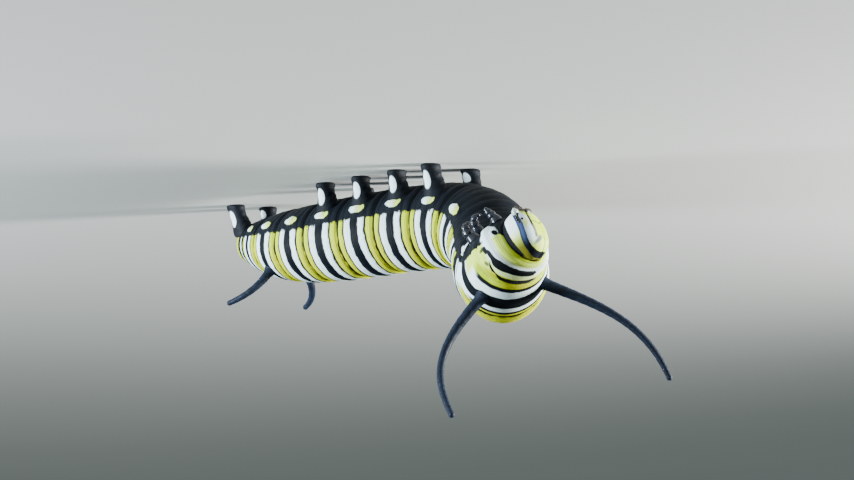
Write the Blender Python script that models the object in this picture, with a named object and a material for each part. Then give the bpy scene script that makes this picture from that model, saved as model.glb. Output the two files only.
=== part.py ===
"""Monarch larva, last instar, life size, resting on its prolegs with the front of the body raised.

Frame: metres, +Z up, floor at z = 0, the body's rear half along +X with the head end towards +X.
The body is a spine that turns from segment to segment, with oval rings set square to it. Every
segment, leg, proleg, feeler and tentacle is placed from that spine. Sizes below are in millimetres
and degrees and become metres when a mesh is made.
"""
import math

import bmesh
import bpy
import numpy as np
from mathutils import Vector

MM = 0.001
GAP = 0.3
RING_SIDES = 24
# Steps along the spine, and fine points along a limb's curve.
STEP = 0.05
CURVE_STEPS = 200

# Tail first: name, length, width, height, then yaw, pitch and roll of the spine at its middle.
SEGMENTS = [
    ("abdomen_10", 2.3, 3.7, 3.3, 6.0, 12.0, 0.0),
    ("abdomen_9", 1.9, 4.8, 4.3, 4.0, 10.0, 0.0),
    ("abdomen_8", 2.8, 5.7, 5.3, 1.0, 7.0, 0.0),
    ("abdomen_7", 3.1, 6.3, 5.9, -3.0, 3.0, 0.0),
    ("abdomen_6", 3.4, 6.6, 6.2, -6.0, 0.5, 0.0),
    ("abdomen_5", 3.4, 6.7, 6.3, -8.0, 0.0, 0.0),
    ("abdomen_4", 3.4, 6.7, 6.3, -8.0, 2.0, 0.0),
    ("abdomen_3", 3.3, 6.7, 6.3, -4.5, 7.4, 0.0),
    ("abdomen_2", 3.1, 6.6, 6.3, 10.9, 27.6, 0.0),
    ("abdomen_1", 2.9, 6.6, 6.3, 34.6, 47.4, 0.0),
    ("thorax_3", 2.8, 6.7, 6.7, 39.8, 19.3, -5.6),
    ("thorax_2", 3.5, 5.8, 5.55, 36.7, -17.2, 11.1),
    ("thorax_1", 2.0, 4.8, 4.45, 13.0, -26.9, -5.1),
    ("head", 2.6, 3.25, 3.45, -15.8, -26.2, 1.5),
]
START = Vector((-19.42, -2.5, 2.75))

# How much narrower a segment is at its two ends than in its middle, and where its full width runs.
END_PINCH = 0.035
FULL_WIDTH_SPAN = (0.27, 0.73)
# The tail end closes in rings: place along the last segment and width there.
TAIL_RINGS = ((0.0, 0.34), (0.06, 0.62), (0.18, 0.82), (0.38, 0.95), (0.65, 1.0))
# The first thoracic segment narrows to a collar, with a dish that the head's rear sits in.
COLLAR_RINGS = ((0.27, 1.0), (0.56, 0.97), (0.82, 0.80))

# Front tentacles: angle from the back line, then the bends and tip of the curve from its root.
FRONT_TENTACLES = {
    "left": (50.0, (-3.31, 3.34, 3.86), (-0.78, 3.54, 6.03), (1.18, 4.72, 8.58)),
    "right": (-50.0, (2.55, -2.43, 1.65), (5.15, -4.65, 2.91), (6.05, -5.89, 7.31)),
}
FRONT_TENTACLE_RADII = (0.42, 0.34, 0.27, 0.24, 0.21)
REAR_TENTACLE_LENGTH = 4.2
REAR_TENTACLE_RADII = (0.36, 0.28, 0.24, 0.2)
REAR_TENTACLE_ANGLE = 40.0
# The rear pair leaves the skin square to it and then leans back: outwards and backwards at each bend.
REAR_TENTACLE_BENDS = ((1.5, 0.0), (2.6, 0.8))
REAR_TENTACLE_LEAN = (0.75, 0.55)
TENTACLE_SIDES = 12
# Clear distance along a tentacle from the skin to its first round ring, and the width of its foot.
TENTACLE_START = 0.75
FRONT_FOOT = 0.50
REAR_FOOT = 0.44
# A blunt tip: how far beyond the last ring it reaches and how wide it ends, in radii.
TIP_REACH = 0.7
TIP_WIDTH = 0.5

# Thoracic legs: share of the length and radius, with a waist at each joint and a claw.
LEG_STATIONS = (
    (0.26, 0.47), (0.33, 0.41), (0.38, 0.36), (0.46, 0.40), (0.55, 0.34), (0.59, 0.28),
    (0.67, 0.31), (0.76, 0.25), (0.80, 0.20), (0.89, 0.16), (0.95, 0.08), (1.0, 0.03),
)
LEG_FOOT = (0.46, 0.52)
LEG_SIDES = 10
# A leg's curve leaves the skin outwards and a little forward.
LEG_START = (0.85, 0.10)
# Segment, place along it, angle from the back line, size, then the bend and the tip of the curve,
# each as sideways, down and forward.
LEGS = {
    "leg_1": ("thorax_1", 0.52, 150.0, 0.85, (1.10, 0.90, 0.10), (0.60, 1.20, 0.0)),
    "leg_2": ("thorax_2", 0.50, 148.0, 1.0, (0.80, 1.15, 0.20), (-0.10, 1.45, 0.20)),
    "leg_3": ("thorax_3", 0.52, 147.0, 0.90, (0.80, 1.15, 0.20), (-0.10, 1.45, 0.20)),
}
# Rounded lobes low on the sides above the legs: place, angle, radius, how far the centre is sunk.
SIDE_LOBES = {
    "thorax_1": (0.52, 110.0, 0.64, 0.40),
    "thorax_2": (0.50, 124.0, 0.62, 0.40),
    "thorax_3": (0.50, 122.0, 0.62, 0.42),
}
LOBE_FLATNESS = 0.8
LOBE_SIDES = 12
LOBE_ROWS = 8

PROLEG_ANGLE = 138.0
PROLEG_ROOT = (0.85, 0.95)
PROLEG_SOLE = (0.62, 0.80)
PROLEG_SPREAD = 2.25
PROLEG_SIDES = 14
# Share of the way down and width beside the sole: waisted, then flared at the foot.
PROLEG_SWELLS = ((0.40, 0.74), (0.70, 0.86), (0.90, 1.05), (1.0, 0.95))
PROLEG_NUMBERS = (3, 4, 5, 6)
ANAL_PLACE = 0.46
ANAL_ANGLE = 132.0
ANAL_ROOT = (0.80, 0.85)
ANAL_SOLE = (0.75, 0.65)
ANAL_SPREAD = 1.55
ANAL_SHIFT = -0.25

HEAD_SIDES = 28
HEAD_HALF_WIDTH = 1.63
HEAD_HALF_HEIGHT = 1.80
# Depth of the widest place, how far the face swells before it and how fast the rear narrows.
HEAD_WIDEST = 0.95
HEAD_BULGE = 1.05
HEAD_REAR_BULGE = 2.10
# Depths of the rings behind the widest place, the first at the flat rear.
HEAD_REAR_RINGS = (-0.35, -0.05, 0.25, 0.60)
FACE_RINGS = 7
FACE_TILT = 80.0
# How far the head is tucked back and down into the collar.
HEAD_TUCK = (0.56, 0.08)
CROWN_NOTCH = 0.04
CROWN_NOTCH_SPREAD = 0.20
# Triangular frons: height of its apex, of its base, half width there, how proud it stands and how deep
# it is rooted.
FRONS = (0.88, -0.22, 0.52, 0.05, -0.25)
FRONS_ROWS = 6
EYE_RADIUS = 0.11
EYE_SUNK = 0.02
# Six simple eyes a side as (sideways, up) on the face, five in an arc and one before them.
EYES = ((1.44, -0.56), (1.40, -0.78), (1.30, -0.98), (1.16, -1.14), (1.02, -1.28), (1.22, -0.72))
ANTENNA_ROOT = (0.95, -1.42)
# Forward, outwards and down.
ANTENNA_AIM = (0.30, 0.55, 0.78)
ANTENNA_STATIONS = ((0.26, 0.23), (0.38, 0.21), (0.41, 0.16), (0.52, 0.14), (0.55, 0.09), (0.64, 0.06))
ANTENNA_SIDES = 10
# Mouthparts on the head's own axes: depth, sideways, up, then radii across, forward and up.
LABRUM = (-1.36, (0.44, 0.18, 0.24))
LABIUM = ((0.92, 0.0, -1.56), (0.32, 0.30, 0.28))
JAW = ((1.22, 0.28, -1.50), (0.27, 0.28, 0.34))
MAXILLA = ((0.98, 0.44, -1.54), (0.22, 0.24, 0.32))
PALP = ((1.02, 0.44, -1.66), (1.20, 0.42, -2.06), 0.17, 0.07)
SPOUT = ((0.96, 0.0, -1.66), (1.12, 0.0, -2.08), 0.13, 0.05)
MOUTH_SIDES = 10
MOUTH_ROWS = 8
# A feeler steps down past its middle joint: share of its length and width there.
FEELER_STEPS = ((0.55, 0.8), (0.62, 0.6))
FEELER_SIDES = 8

BLACK = (0.02, 0.02, 0.022, 1.0)
PALE = (0.80, 0.80, 0.66, 1.0)
YELLOW = (0.74, 0.62, 0.10, 1.0)
SKIN_ROUGHNESS = 0.45
TENTACLE_ROUGHNESS = 0.35
HORN_ROUGHNESS = 0.25


def clear_scene():
    """Empty the file before anything is made."""
    for item in list(bpy.data.objects):
        bpy.data.objects.remove(item, do_unlink=True)


class Spine:
    """The line through the middle of the body, with the body's half sizes along it."""

    def __init__(self):
        self.names = [row[0] for row in SEGMENTS]
        lengths = np.array([row[1] for row in SEGMENTS])
        self.edges = np.concatenate([[0.0], np.cumsum(lengths)])
        self.centres = (self.edges[1:] + self.edges[:-1]) / 2
        self.s = np.arange(0.0, self.edges[-1] + STEP, STEP)
        yaw = np.radians(self.blend(4))
        pitch = np.radians(self.blend(5))
        roll = np.radians(self.blend(6))
        self.width = self.blend(2) / 2
        self.height = self.blend(3) / 2
        self.along = np.stack([np.cos(yaw) * np.cos(pitch), np.sin(yaw) * np.cos(pitch), np.sin(pitch)], 1)
        moves = (self.along[1:] + self.along[:-1]) / 2 * STEP
        self.point = np.array(START) + np.concatenate([np.zeros((1, 3)), np.cumsum(moves, axis=0)])
        level = np.stack([-np.sin(yaw), np.cos(yaw), 0 * yaw], 1)
        upright = np.cross(self.along, level)
        self.left = np.cos(roll)[:, None] * level + np.sin(roll)[:, None] * upright
        self.up = np.cross(self.along, self.left)

    def blend(self, column):
        """Pass smoothly through one column of the table, from segment centre to segment centre."""
        values = np.array([row[column] for row in SEGMENTS], float)
        x = np.concatenate([[self.edges[0] - 1.0], self.centres, [self.edges[-1] + 1.0]])
        y = np.concatenate([values[:1], values, values[-1:]])
        slope = np.gradient(y, x)
        i = np.clip(np.searchsorted(x, self.s) - 1, 0, len(x) - 2)
        step = x[i + 1] - x[i]
        t = np.clip((self.s - x[i]) / step, 0.0, 1.0)
        start = (2 * t**3 - 3 * t**2 + 1) * y[i] + (t**3 - 2 * t**2 + t) * step * slope[i]
        end = (3 * t**2 - 2 * t**3) * y[i + 1] + (t**3 - t**2) * step * slope[i + 1]
        return start + end

    def pick(self, table, s):
        return Vector([float(np.interp(s, self.s, table[:, k])) for k in range(3)])

    def place(self, name, part):
        """Distance along the spine of a point in a segment: 0 at its rear edge, 1 at its front."""
        i = self.names.index(name)
        return self.edges[i] + part * (self.edges[i + 1] - self.edges[i])

    def axes(self, s):
        along = self.pick(self.along, s).normalized()
        left = self.pick(self.left, s)
        left = (left - along * left.dot(along)).normalized()
        return self.pick(self.point, s), along, left, along.cross(left)

    def half_sizes(self, s):
        return float(np.interp(s, self.s, self.width)), float(np.interp(s, self.s, self.height))

    def surface(self, s, angle, lift=0.0):
        """A point on the body at an angle from the back line, raised from the skin by lift."""
        middle, _, left, up = self.axes(s)
        wide, high = self.half_sizes(s)
        out = self.outward(s, angle)
        return middle + left * (math.sin(angle) * wide) + up * (math.cos(angle) * high) + out * lift

    def outward(self, s, angle):
        _, _, left, up = self.axes(s)
        wide, high = self.half_sizes(s)
        return (left * (math.sin(angle) * high) + up * (math.cos(angle) * wide)).normalized()

    def ring(self, s, sides, scale=1.0, shift=0.0):
        """A body ring square to the spine, moved along it by shift without turning."""
        middle, along, left, up = self.axes(s)
        wide, high = self.half_sizes(s)
        return [
            middle + along * shift + (left * (math.sin(a) * wide) + up * (math.cos(a) * high)) * scale
            for a in full_turn(sides)
        ]


def make_material(name, colour, roughness):
    material = bpy.data.materials.new(name + "_material")
    material.use_nodes = True
    shader = material.node_tree.nodes["Principled BSDF"]
    shader.inputs["Base Color"].default_value = colour
    shader.inputs["Roughness"].default_value = roughness
    shader.inputs["Metallic"].default_value = 0.0
    return material


def make_object(name, vertices, faces, colour=BLACK, roughness=HORN_ROUGHNESS):
    """One mesh object in metres with its own material, faces outwards."""
    mesh = bpy.data.meshes.new(name)
    mesh.from_pydata([tuple(v * MM) for v in vertices], [], faces)
    box = bmesh.new()
    box.from_mesh(mesh)
    bmesh.ops.recalc_face_normals(box, faces=box.faces)
    box.to_mesh(mesh)
    box.free()
    thing = bpy.data.objects.new(name, mesh)
    bpy.context.scene.collection.objects.link(thing)
    thing.data.materials.append(make_material(name, colour, roughness))
    return thing


def full_turn(sides):
    """Evenly spaced angles once round."""
    return [2 * math.pi * k / sides for k in range(sides)]


def skin_rings(rings):
    """Vertices and faces of a closed tube through rings of equal count, fanned shut at both ends."""
    sides = len(rings[0])
    vertices = [v for ring in rings for v in ring]
    faces = []
    for i in range(len(rings) - 1):
        for k in range(sides):
            a = i * sides + k
            b = i * sides + (k + 1) % sides
            faces.append((a, b, b + sides))
            faces.append((a, b + sides, a + sides))
    for ring_index in (0, len(rings) - 1):
        ring = rings[ring_index]
        centre = sum(ring, Vector()) / sides
        vertices.append(centre)
        top = len(vertices) - 1
        for k in range(sides):
            faces.append((ring_index * sides + k, ring_index * sides + (k + 1) % sides, top))
    return vertices, faces


def loft(name, rings, colour=BLACK, roughness=HORN_ROUGHNESS):
    """One closed object through rings of equal count."""
    vertices, faces = skin_rings(rings)
    return make_object(name, vertices, faces, colour, roughness)


def ball(name, centre, axes, radii, sides, rows):
    """An oval ball with its pole along the first axis."""
    along, left, up = axes
    rings = []
    for i in range(1, rows):
        tilt = math.pi * i / rows
        middle = centre - along * (radii[0] * math.cos(tilt))
        rings.append([
            middle + (left * (math.cos(a) * radii[1]) + up * (math.sin(a) * radii[2])) * math.sin(tilt)
            for a in full_turn(sides)
        ])
    vertices, faces = skin_rings(rings)
    vertices[-2] = centre - along * radii[0]
    vertices[-1] = centre + along * radii[0]
    return make_object(name, vertices, faces)


def keep_largest(thing):
    """Drop every closed surface of a fused node but the one with the most faces."""
    box = bmesh.new()
    box.from_mesh(thing.data)
    box.faces.ensure_lookup_table()
    seen = set()
    islands = []
    for face in box.faces:
        if face.index in seen:
            continue
        island = []
        stack = [face]
        seen.add(face.index)
        while stack:
            here = stack.pop()
            island.append(here)
            for edge in here.edges:
                for other in edge.link_faces:
                    if other.index not in seen:
                        seen.add(other.index)
                        stack.append(other)
        islands.append(island)
    islands.sort(key=len)
    scraps = [face for island in islands[:-1] for face in island]
    if scraps:
        bmesh.ops.delete(box, geom=scraps, context="FACES")
        loose = [v for v in box.verts if not v.link_faces]
        bmesh.ops.delete(box, geom=loose, context="VERTS")
    bmesh.ops.triangulate(box, faces=box.faces)
    box.to_mesh(thing.data)
    box.free()


def hollow_out(thing, cutter):
    """Cut one closed piece out of another and remove the cutter."""
    cut = thing.modifiers.new("cut", "BOOLEAN")
    cut.operation = "DIFFERENCE"
    cut.solver = "EXACT"
    cut.object = cutter
    depsgraph = bpy.context.evaluated_depsgraph_get()
    mesh = bpy.data.meshes.new_from_object(thing.evaluated_get(depsgraph))
    thing.modifiers.clear()
    thing.data = mesh
    bpy.data.objects.remove(cutter, do_unlink=True)
    keep_largest(thing)


def fuse(name, pieces, colour, roughness):
    """Join closed pieces into one node with a single union."""
    base = pieces[0]
    others = bpy.data.collections.new(name + "_pieces")
    bpy.context.scene.collection.children.link(others)
    for piece in pieces[1:]:
        others.objects.link(piece)
        bpy.context.scene.collection.objects.unlink(piece)
    join = base.modifiers.new("join", "BOOLEAN")
    join.operation = "UNION"
    join.solver = "EXACT"
    join.operand_type = "COLLECTION"
    join.collection = others
    depsgraph = bpy.context.evaluated_depsgraph_get()
    mesh = bpy.data.meshes.new_from_object(base.evaluated_get(depsgraph))
    for piece in pieces:
        bpy.data.objects.remove(piece, do_unlink=True)
    bpy.data.collections.remove(others)
    mesh.materials.clear()
    thing = bpy.data.objects.new(name, mesh)
    bpy.context.scene.collection.objects.link(thing)
    thing.data.materials.append(make_material(name, colour, roughness))
    keep_largest(thing)
    return thing


def root_ring(spine, s, angle, half_along, half_around, sides):
    """Oval footprint on the skin, one gap clear of it, that starts at its front."""
    wide, high = spine.half_sizes(s)
    turn = half_around / ((wide + high) / 2)
    return [
        spine.surface(s + half_along * math.cos(a), angle + turn * math.sin(a), GAP) for a in full_turn(sides)
    ]


def tube_rings(points, radii, first_ring):
    """Round rings along a line of points, lined up with the ring that they continue from."""
    sides = len(first_ring)
    start = sum(first_ring, Vector()) / sides
    lead = first_ring[0] - start
    first_heading = (points[1] - points[0]).normalized()
    hand = math.copysign(1.0, first_heading.cross(lead).dot(first_ring[sides // 4] - start))
    rings = []
    for i, (point, radius) in enumerate(zip(points, radii)):
        before = points[max(i - 1, 0)]
        after = points[min(i + 1, len(points) - 1)]
        heading = (after - before).normalized()
        lead = (lead - heading * lead.dot(heading)).normalized()
        across = heading.cross(lead) * hand
        rings.append([
            point + (lead * math.cos(turn) + across * math.sin(turn)) * radius for turn in full_turn(sides)
        ])
    return rings


def blunt_tip(points, radii):
    """Add a last ring that rounds off the end of a tentacle."""
    heading = (points[-1] - points[-2]).normalized()
    points.append(points[-1] + heading * radii[-1] * TIP_REACH)
    radii.append(radii[-1] * TIP_WIDTH)


def cubic(root, bend_a, bend_b, tip):
    """A smooth curve, 0 to 1, that leaves root towards bend_a and reaches tip from bend_b."""
    def curve(t):
        u = 1.0 - t
        return root * u**3 + bend_a * (3 * u * u * t) + bend_b * (3 * u * t * t) + tip * t**3

    return curve


def curve_reach(curve):
    """Fine points along a curve and the distance travelled at each."""
    fine = [curve(k / CURVE_STEPS) for k in range(CURVE_STEPS + 1)]
    reach = [0.0]
    for a, b in zip(fine, fine[1:]):
        reach.append(reach[-1] + (b - a).length)
    return fine, reach


def curve_length(curve):
    return curve_reach(curve)[1][-1]


def points_at(curve, shares):
    """Points at shares of a curve's length."""
    fine, reach = curve_reach(curve)
    columns = [[point[c] for point in fine] for c in range(3)]
    return [
        Vector([float(np.interp(reach[-1] * share, reach, column)) for column in columns]) for share in shares
    ]


def taper(radii, shares):
    """Radii at shares of the length, read from a short list spaced evenly."""
    places = np.linspace(0.0, 1.0, len(radii))
    return [float(np.interp(share, places, radii)) for share in shares]


def build_segments(spine):
    """Three thoracic and ten abdominal segments, each a closed barrel one gap clear of the next."""
    for i, name in enumerate(spine.names[:-1]):
        rear = spine.edges[i]
        front = spine.edges[i + 1]
        if name == "abdomen_10":
            rings = [spine.ring(spine.place(name, part), RING_SIDES, scale) for part, scale in TAIL_RINGS]
        else:
            rings = [spine.ring(rear, RING_SIDES, 1.0 - END_PINCH, GAP / 2)]
        if name == "thorax_1":
            rings += [spine.ring(spine.place(name, part), RING_SIDES, scale) for part, scale in COLLAR_RINGS]
        else:
            if name != "abdomen_10":
                rings += [spine.ring(spine.place(name, part), RING_SIDES) for part in FULL_WIDTH_SPAN]
            rings.append(spine.ring(front, RING_SIDES, 1.0 - END_PINCH, -GAP / 2))
        colour = PALE if i % 2 else YELLOW
        if name not in SIDE_LOBES:
            loft(name, rings, colour, SKIN_ROUGHNESS)
            continue
        pieces = [loft(name + "_body", rings)] + side_lobes(spine, name)
        segment = fuse(name, pieces, colour, SKIN_ROUGHNESS)
        if name == "thorax_1":
            hollow_out(segment, capsule(HeadFrame(spine), GAP))


def side_lobes(spine, name):
    part, angle, radius, sunk = SIDE_LOBES[name]
    s = spine.place(name, part)
    radii = (radius * LOBE_FLATNESS, radius, radius)
    lobes = []
    for hand in (1.0, -1.0):
        centre = spine.surface(s, math.radians(angle) * hand, -sunk)
        lobes.append(ball(name + "_lobe", centre, spine.axes(s)[1:], radii, LOBE_SIDES, LOBE_ROWS))
    return lobes


def build_front_tentacles(spine):
    """The long front pair, each in a base and a tip part with a gap between them."""
    s = spine.place("thorax_2", 0.45)
    for side, (degrees, bend_a, bend_b, tip) in FRONT_TENTACLES.items():
        angle = math.radians(degrees)
        skin = spine.surface(s, angle)
        curve = cubic(skin, skin + Vector(bend_a), skin + Vector(bend_b), skin + Vector(tip))
        length = curve_length(curve)
        foot = root_ring(spine, s, angle, FRONT_FOOT, FRONT_FOOT, TENTACLE_SIDES)
        spare = GAP / length / 2
        shares = np.linspace(TENTACLE_START / length, 0.5 - spare, 7)
        rings = tube_rings(points_at(curve, shares), taper(FRONT_TENTACLE_RADII, shares), foot)
        name = "front_tentacle_" + side
        loft(name + "_base", [foot] + rings, BLACK, TENTACLE_ROUGHNESS)
        shares = np.linspace(0.5 + spare, 1.0, 7)
        points = points_at(curve, shares)
        radii = taper(FRONT_TENTACLE_RADII, shares)
        blunt_tip(points, radii)
        loft(name + "_tip", tube_rings(points, radii, rings[-1]), BLACK, TENTACLE_ROUGHNESS)


def build_rear_tentacles(spine):
    """The short rear pair on the eighth abdominal segment, leaning back."""
    s = spine.place("abdomen_8", 0.45)
    along = spine.axes(s)[1]
    for side, hand in (("left", 1.0), ("right", -1.0)):
        angle = math.radians(REAR_TENTACLE_ANGLE) * hand
        skin = spine.surface(s, angle)
        out = spine.outward(s, angle)
        bends = [skin + out * outwards - along * back for outwards, back in REAR_TENTACLE_BENDS]
        lean = (out * REAR_TENTACLE_LEAN[0] - along * REAR_TENTACLE_LEAN[1]).normalized()
        curve = cubic(skin, *bends, skin + lean * REAR_TENTACLE_LENGTH)
        foot = root_ring(spine, s, angle, REAR_FOOT, REAR_FOOT, TENTACLE_SIDES)
        shares = np.linspace(TENTACLE_START / curve_length(curve), 1.0, 6)
        points = points_at(curve, shares)
        radii = taper(REAR_TENTACLE_RADII, shares)
        blunt_tip(points, radii)
        loft("rear_tentacle_" + side, [foot] + tube_rings(points, radii, foot), BLACK, TENTACLE_ROUGHNESS)


def build_legs(spine):
    """Six jointed legs that hang clear of the floor, splayed and curled inwards to a claw."""
    for leg, (segment, part, degrees, size, bend, tip) in LEGS.items():
        s = spine.place(segment, part)
        _, along, left, up = spine.axes(s)
        for side, hand in (("left", 1.0), ("right", -1.0)):
            angle = math.radians(degrees) * hand
            skin = spine.surface(s, angle)
            start = skin + (spine.outward(s, angle) * LEG_START[0] + along * LEG_START[1]) * size
            bend_point, tip_point = [
                skin + (left * (sideways * hand) - up * down + along * forward) * size
                for sideways, down, forward in (bend, tip)
            ]
            curve = cubic(skin, start, bend_point, tip_point)
            foot = root_ring(spine, s, angle, LEG_FOOT[0] * size, LEG_FOOT[1] * size, LEG_SIDES)
            points = points_at(curve, [share for share, _ in LEG_STATIONS])
            radii = [radius * size for _, radius in LEG_STATIONS]
            loft(leg + "_" + side, [foot] + tube_rings(points, radii, foot), BLACK, HORN_ROUGHNESS)


def build_prolegs(spine):
    """Ten fleshy prolegs whose flat soles share the floor."""
    for number in PROLEG_NUMBERS:
        s = spine.place("abdomen_" + str(number), 0.5)
        build_proleg_pair(spine, "proleg_" + str(number), s, PROLEG_ANGLE, PROLEG_ROOT, PROLEG_SOLE,
                          PROLEG_SPREAD, 0.0)
    s = spine.place("abdomen_10", ANAL_PLACE)
    build_proleg_pair(spine, "anal_proleg", s, ANAL_ANGLE, ANAL_ROOT, ANAL_SOLE, ANAL_SPREAD, ANAL_SHIFT)


def build_proleg_pair(spine, name, s, degrees, root, sole, spread, shift):
    middle, along, _, _ = spine.axes(s)
    flat_along = Vector((along.x, along.y, 0.0)).normalized()
    flat_left = Vector((-flat_along.y, flat_along.x, 0.0))
    below = Vector((middle.x, middle.y, 0.0)) + flat_along * shift
    for side, hand in (("left", 1.0), ("right", -1.0)):
        foot = root_ring(spine, s, math.radians(degrees) * hand, root[0], root[1], PROLEG_SIDES)
        centre = below + flat_left * (spread * hand)
        rings = [foot]
        for share, swell in PROLEG_SWELLS:
            flat = [
                centre + (flat_along * (sole[0] * math.cos(a)) - flat_left * (sole[1] * math.sin(a))) * swell
                for a in full_turn(PROLEG_SIDES)
            ]
            rings.append([high.lerp(low, share) for high, low in zip(foot, flat)])
        level_sole(rings[-1])
        loft(name + "_" + side, rings, BLACK, SKIN_ROUGHNESS)


def level_sole(ring):
    """Put the last ring of a proleg exactly on the floor."""
    for point in ring:
        point.z = 0.0


class HeadFrame:
    """Places on the head: x forward, y to its left, z up, in millimetres from the tucked rear middle."""

    def __init__(self, spine):
        rear = spine.axes(spine.place("head", 0.0))[0]
        _, self.along, self.left, self.up = spine.axes(spine.place("head", 0.5))
        self.origin = rear - self.along * HEAD_TUCK[0] - self.up * HEAD_TUCK[1]

    def point(self, x, y, z):
        return self.origin + self.along * x + self.left * y + self.up * z

    def face_point(self, y, z, lift=0.0):
        """A point on the face, raised from it by lift."""
        room = 1.0 - (y / HEAD_HALF_WIDTH) ** 2 - (z / HEAD_HALF_HEIGHT) ** 2
        swell = HEAD_BULGE * math.sqrt(max(room, 0.0))
        slope = Vector((swell / HEAD_BULGE**2, y / HEAD_HALF_WIDTH**2, z / HEAD_HALF_HEIGHT**2)).normalized()
        return self.point(HEAD_WIDEST + swell + slope.x * lift, y + slope.y * lift, z + slope.z * lift)


def capsule(head, clear=0.0):
    """The head capsule: a rounded case cut flat at the rear and notched along the crown."""
    steps = []
    for depth in HEAD_REAR_RINGS:
        steps.append((depth, math.sqrt(1.0 - ((HEAD_WIDEST - depth) / HEAD_REAR_BULGE) ** 2)))
    steps[0] = (HEAD_REAR_RINGS[0] - clear, steps[0][1])
    for i in range(FACE_RINGS):
        tilt = math.radians(FACE_TILT) * i / (FACE_RINGS - 1)
        steps.append((HEAD_WIDEST + HEAD_BULGE * math.sin(tilt), math.cos(tilt)))
    rings = []
    for depth, scale in steps:
        ring = []
        for a in full_turn(HEAD_SIDES):
            turn = min(a, 2 * math.pi - a)
            notch = 1.0 - CROWN_NOTCH * math.exp(-((turn / CROWN_NOTCH_SPREAD) ** 2))
            wide = HEAD_HALF_WIDTH * scale + clear
            high = HEAD_HALF_HEIGHT * scale * notch + clear
            ring.append(head.point(depth, math.sin(a) * wide, math.cos(a) * high))
        rings.append(ring)
    vertices, faces = skin_rings(rings)
    vertices[-1] = head.point(HEAD_WIDEST + HEAD_BULGE + clear, 0.0, 0.0)
    return make_object("capsule", vertices, faces)


def frons_plate(head):
    """The triangular plate between the arms of the face's V, a little proud of the capsule."""
    apex, base, half, proud, rooted = FRONS
    rings = []
    for share in np.linspace(0.04, 1.0, FRONS_ROWS):
        z = apex + (base - apex) * share
        wide = half * share
        outer = [head.face_point(wide * side, z, proud) for side in (-1.0, 0.0, 1.0)]
        inner = [head.face_point(wide * side, z, rooted) for side in (1.0, 0.0, -1.0)]
        rings.append(outer + inner)
    return loft("frons", rings)


def mouthparts(head):
    """Upper lip, jaws, and the lower lip with its feelers and silk spout."""
    axes = (head.left, head.along, head.up)
    height, radii = LABRUM
    pieces = [ball("labrum", head.face_point(0.0, height), axes, radii, MOUTH_SIDES, MOUTH_ROWS)]
    for (x, y, z), radii in (LABIUM, JAW, MAXILLA):
        for hand in (1.0, -1.0) if y else (1.0,):
            pieces.append(ball("mouth", head.point(x, y * hand, z), axes, radii, MOUTH_SIDES, MOUTH_ROWS))
    for root, tip, wide, thin in (PALP, SPOUT):
        for hand in (1.0, -1.0) if root[1] else (1.0,):
            ends = [head.point(x, y * hand, z) for x, y, z in (root, tip)]
            pieces.append(feeler(*ends, wide, thin))
    return pieces


def feeler(root, tip, wide, thin):
    """A short jointed feeler that narrows to its tip."""
    heading = (tip - root).normalized()
    lead = heading.orthogonal().normalized()
    across = heading.cross(lead)
    rings = []
    for share, radius in ((0.0, wide), *((part, wide * scale) for part, scale in FEELER_STEPS), (1.0, thin)):
        middle = root.lerp(tip, share)
        rings.append([
            middle + (lead * math.cos(a) + across * math.sin(a)) * radius for a in full_turn(FEELER_SIDES)
        ])
    return loft("feeler", rings)


def build_head(spine):
    """The head in one node with its mouthparts and eyes, and the two antennae."""
    head = HeadFrame(spine)
    pieces = [capsule(head), frons_plate(head)] + mouthparts(head)
    axes = (head.along, head.left, head.up)
    for hand in (1.0, -1.0):
        for y, z in EYES:
            pieces.append(ball("eye", head.face_point(y * hand, z, -EYE_SUNK), axes, (EYE_RADIUS,) * 3, 8, 6))
    fuse("head", pieces, BLACK, HORN_ROUGHNESS)
    forward, outwards, down = ANTENNA_AIM
    for side, hand in (("left", 1.0), ("right", -1.0)):
        root = head.face_point(ANTENNA_ROOT[0] * hand, ANTENNA_ROOT[1])
        out = (head.along * forward + head.left * (outwards * hand) - head.up * down).normalized()
        lead = out.orthogonal().normalized()
        across = out.cross(lead)
        first = [root + lead * math.cos(a) + across * math.sin(a) for a in full_turn(ANTENNA_SIDES)]
        points = [root + out * distance for distance, _ in ANTENNA_STATIONS]
        loft("antenna_" + side, tube_rings(points, [radius for _, radius in ANTENNA_STATIONS], first))


clear_scene()
larva = Spine()
build_segments(larva)
build_front_tentacles(larva)
build_rear_tentacles(larva)
build_legs(larva)
build_prolegs(larva)
build_head(larva)
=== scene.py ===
"""Looks of the life-size monarch larva: one banded skin, horny head, jointed legs and soft tentacles.

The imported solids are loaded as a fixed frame. The body plan is the one that the solids follow, in
millimetres and degrees, and every point becomes metres when a mesh is shaped.
"""
import math

import bpy
import numpy as np
from mathutils import Matrix, Vector


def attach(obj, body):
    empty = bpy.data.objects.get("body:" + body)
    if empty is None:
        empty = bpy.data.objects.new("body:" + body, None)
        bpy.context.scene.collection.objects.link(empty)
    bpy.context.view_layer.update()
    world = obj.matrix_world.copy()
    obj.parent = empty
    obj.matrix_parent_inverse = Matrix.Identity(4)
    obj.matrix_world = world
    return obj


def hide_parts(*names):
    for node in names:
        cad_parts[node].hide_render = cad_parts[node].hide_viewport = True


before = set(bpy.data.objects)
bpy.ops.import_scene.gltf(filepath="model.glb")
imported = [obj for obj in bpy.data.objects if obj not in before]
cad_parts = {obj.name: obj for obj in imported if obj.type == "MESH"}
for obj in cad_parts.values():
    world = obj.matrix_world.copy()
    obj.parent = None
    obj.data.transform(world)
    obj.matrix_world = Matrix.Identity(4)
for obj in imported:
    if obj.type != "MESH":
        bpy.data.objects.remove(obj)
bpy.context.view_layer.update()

MM = 0.001
STEP = 0.05
MERGE_GAP = 0.0008
SIDES = (("left", 1.0), ("right", -1.0))
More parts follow.
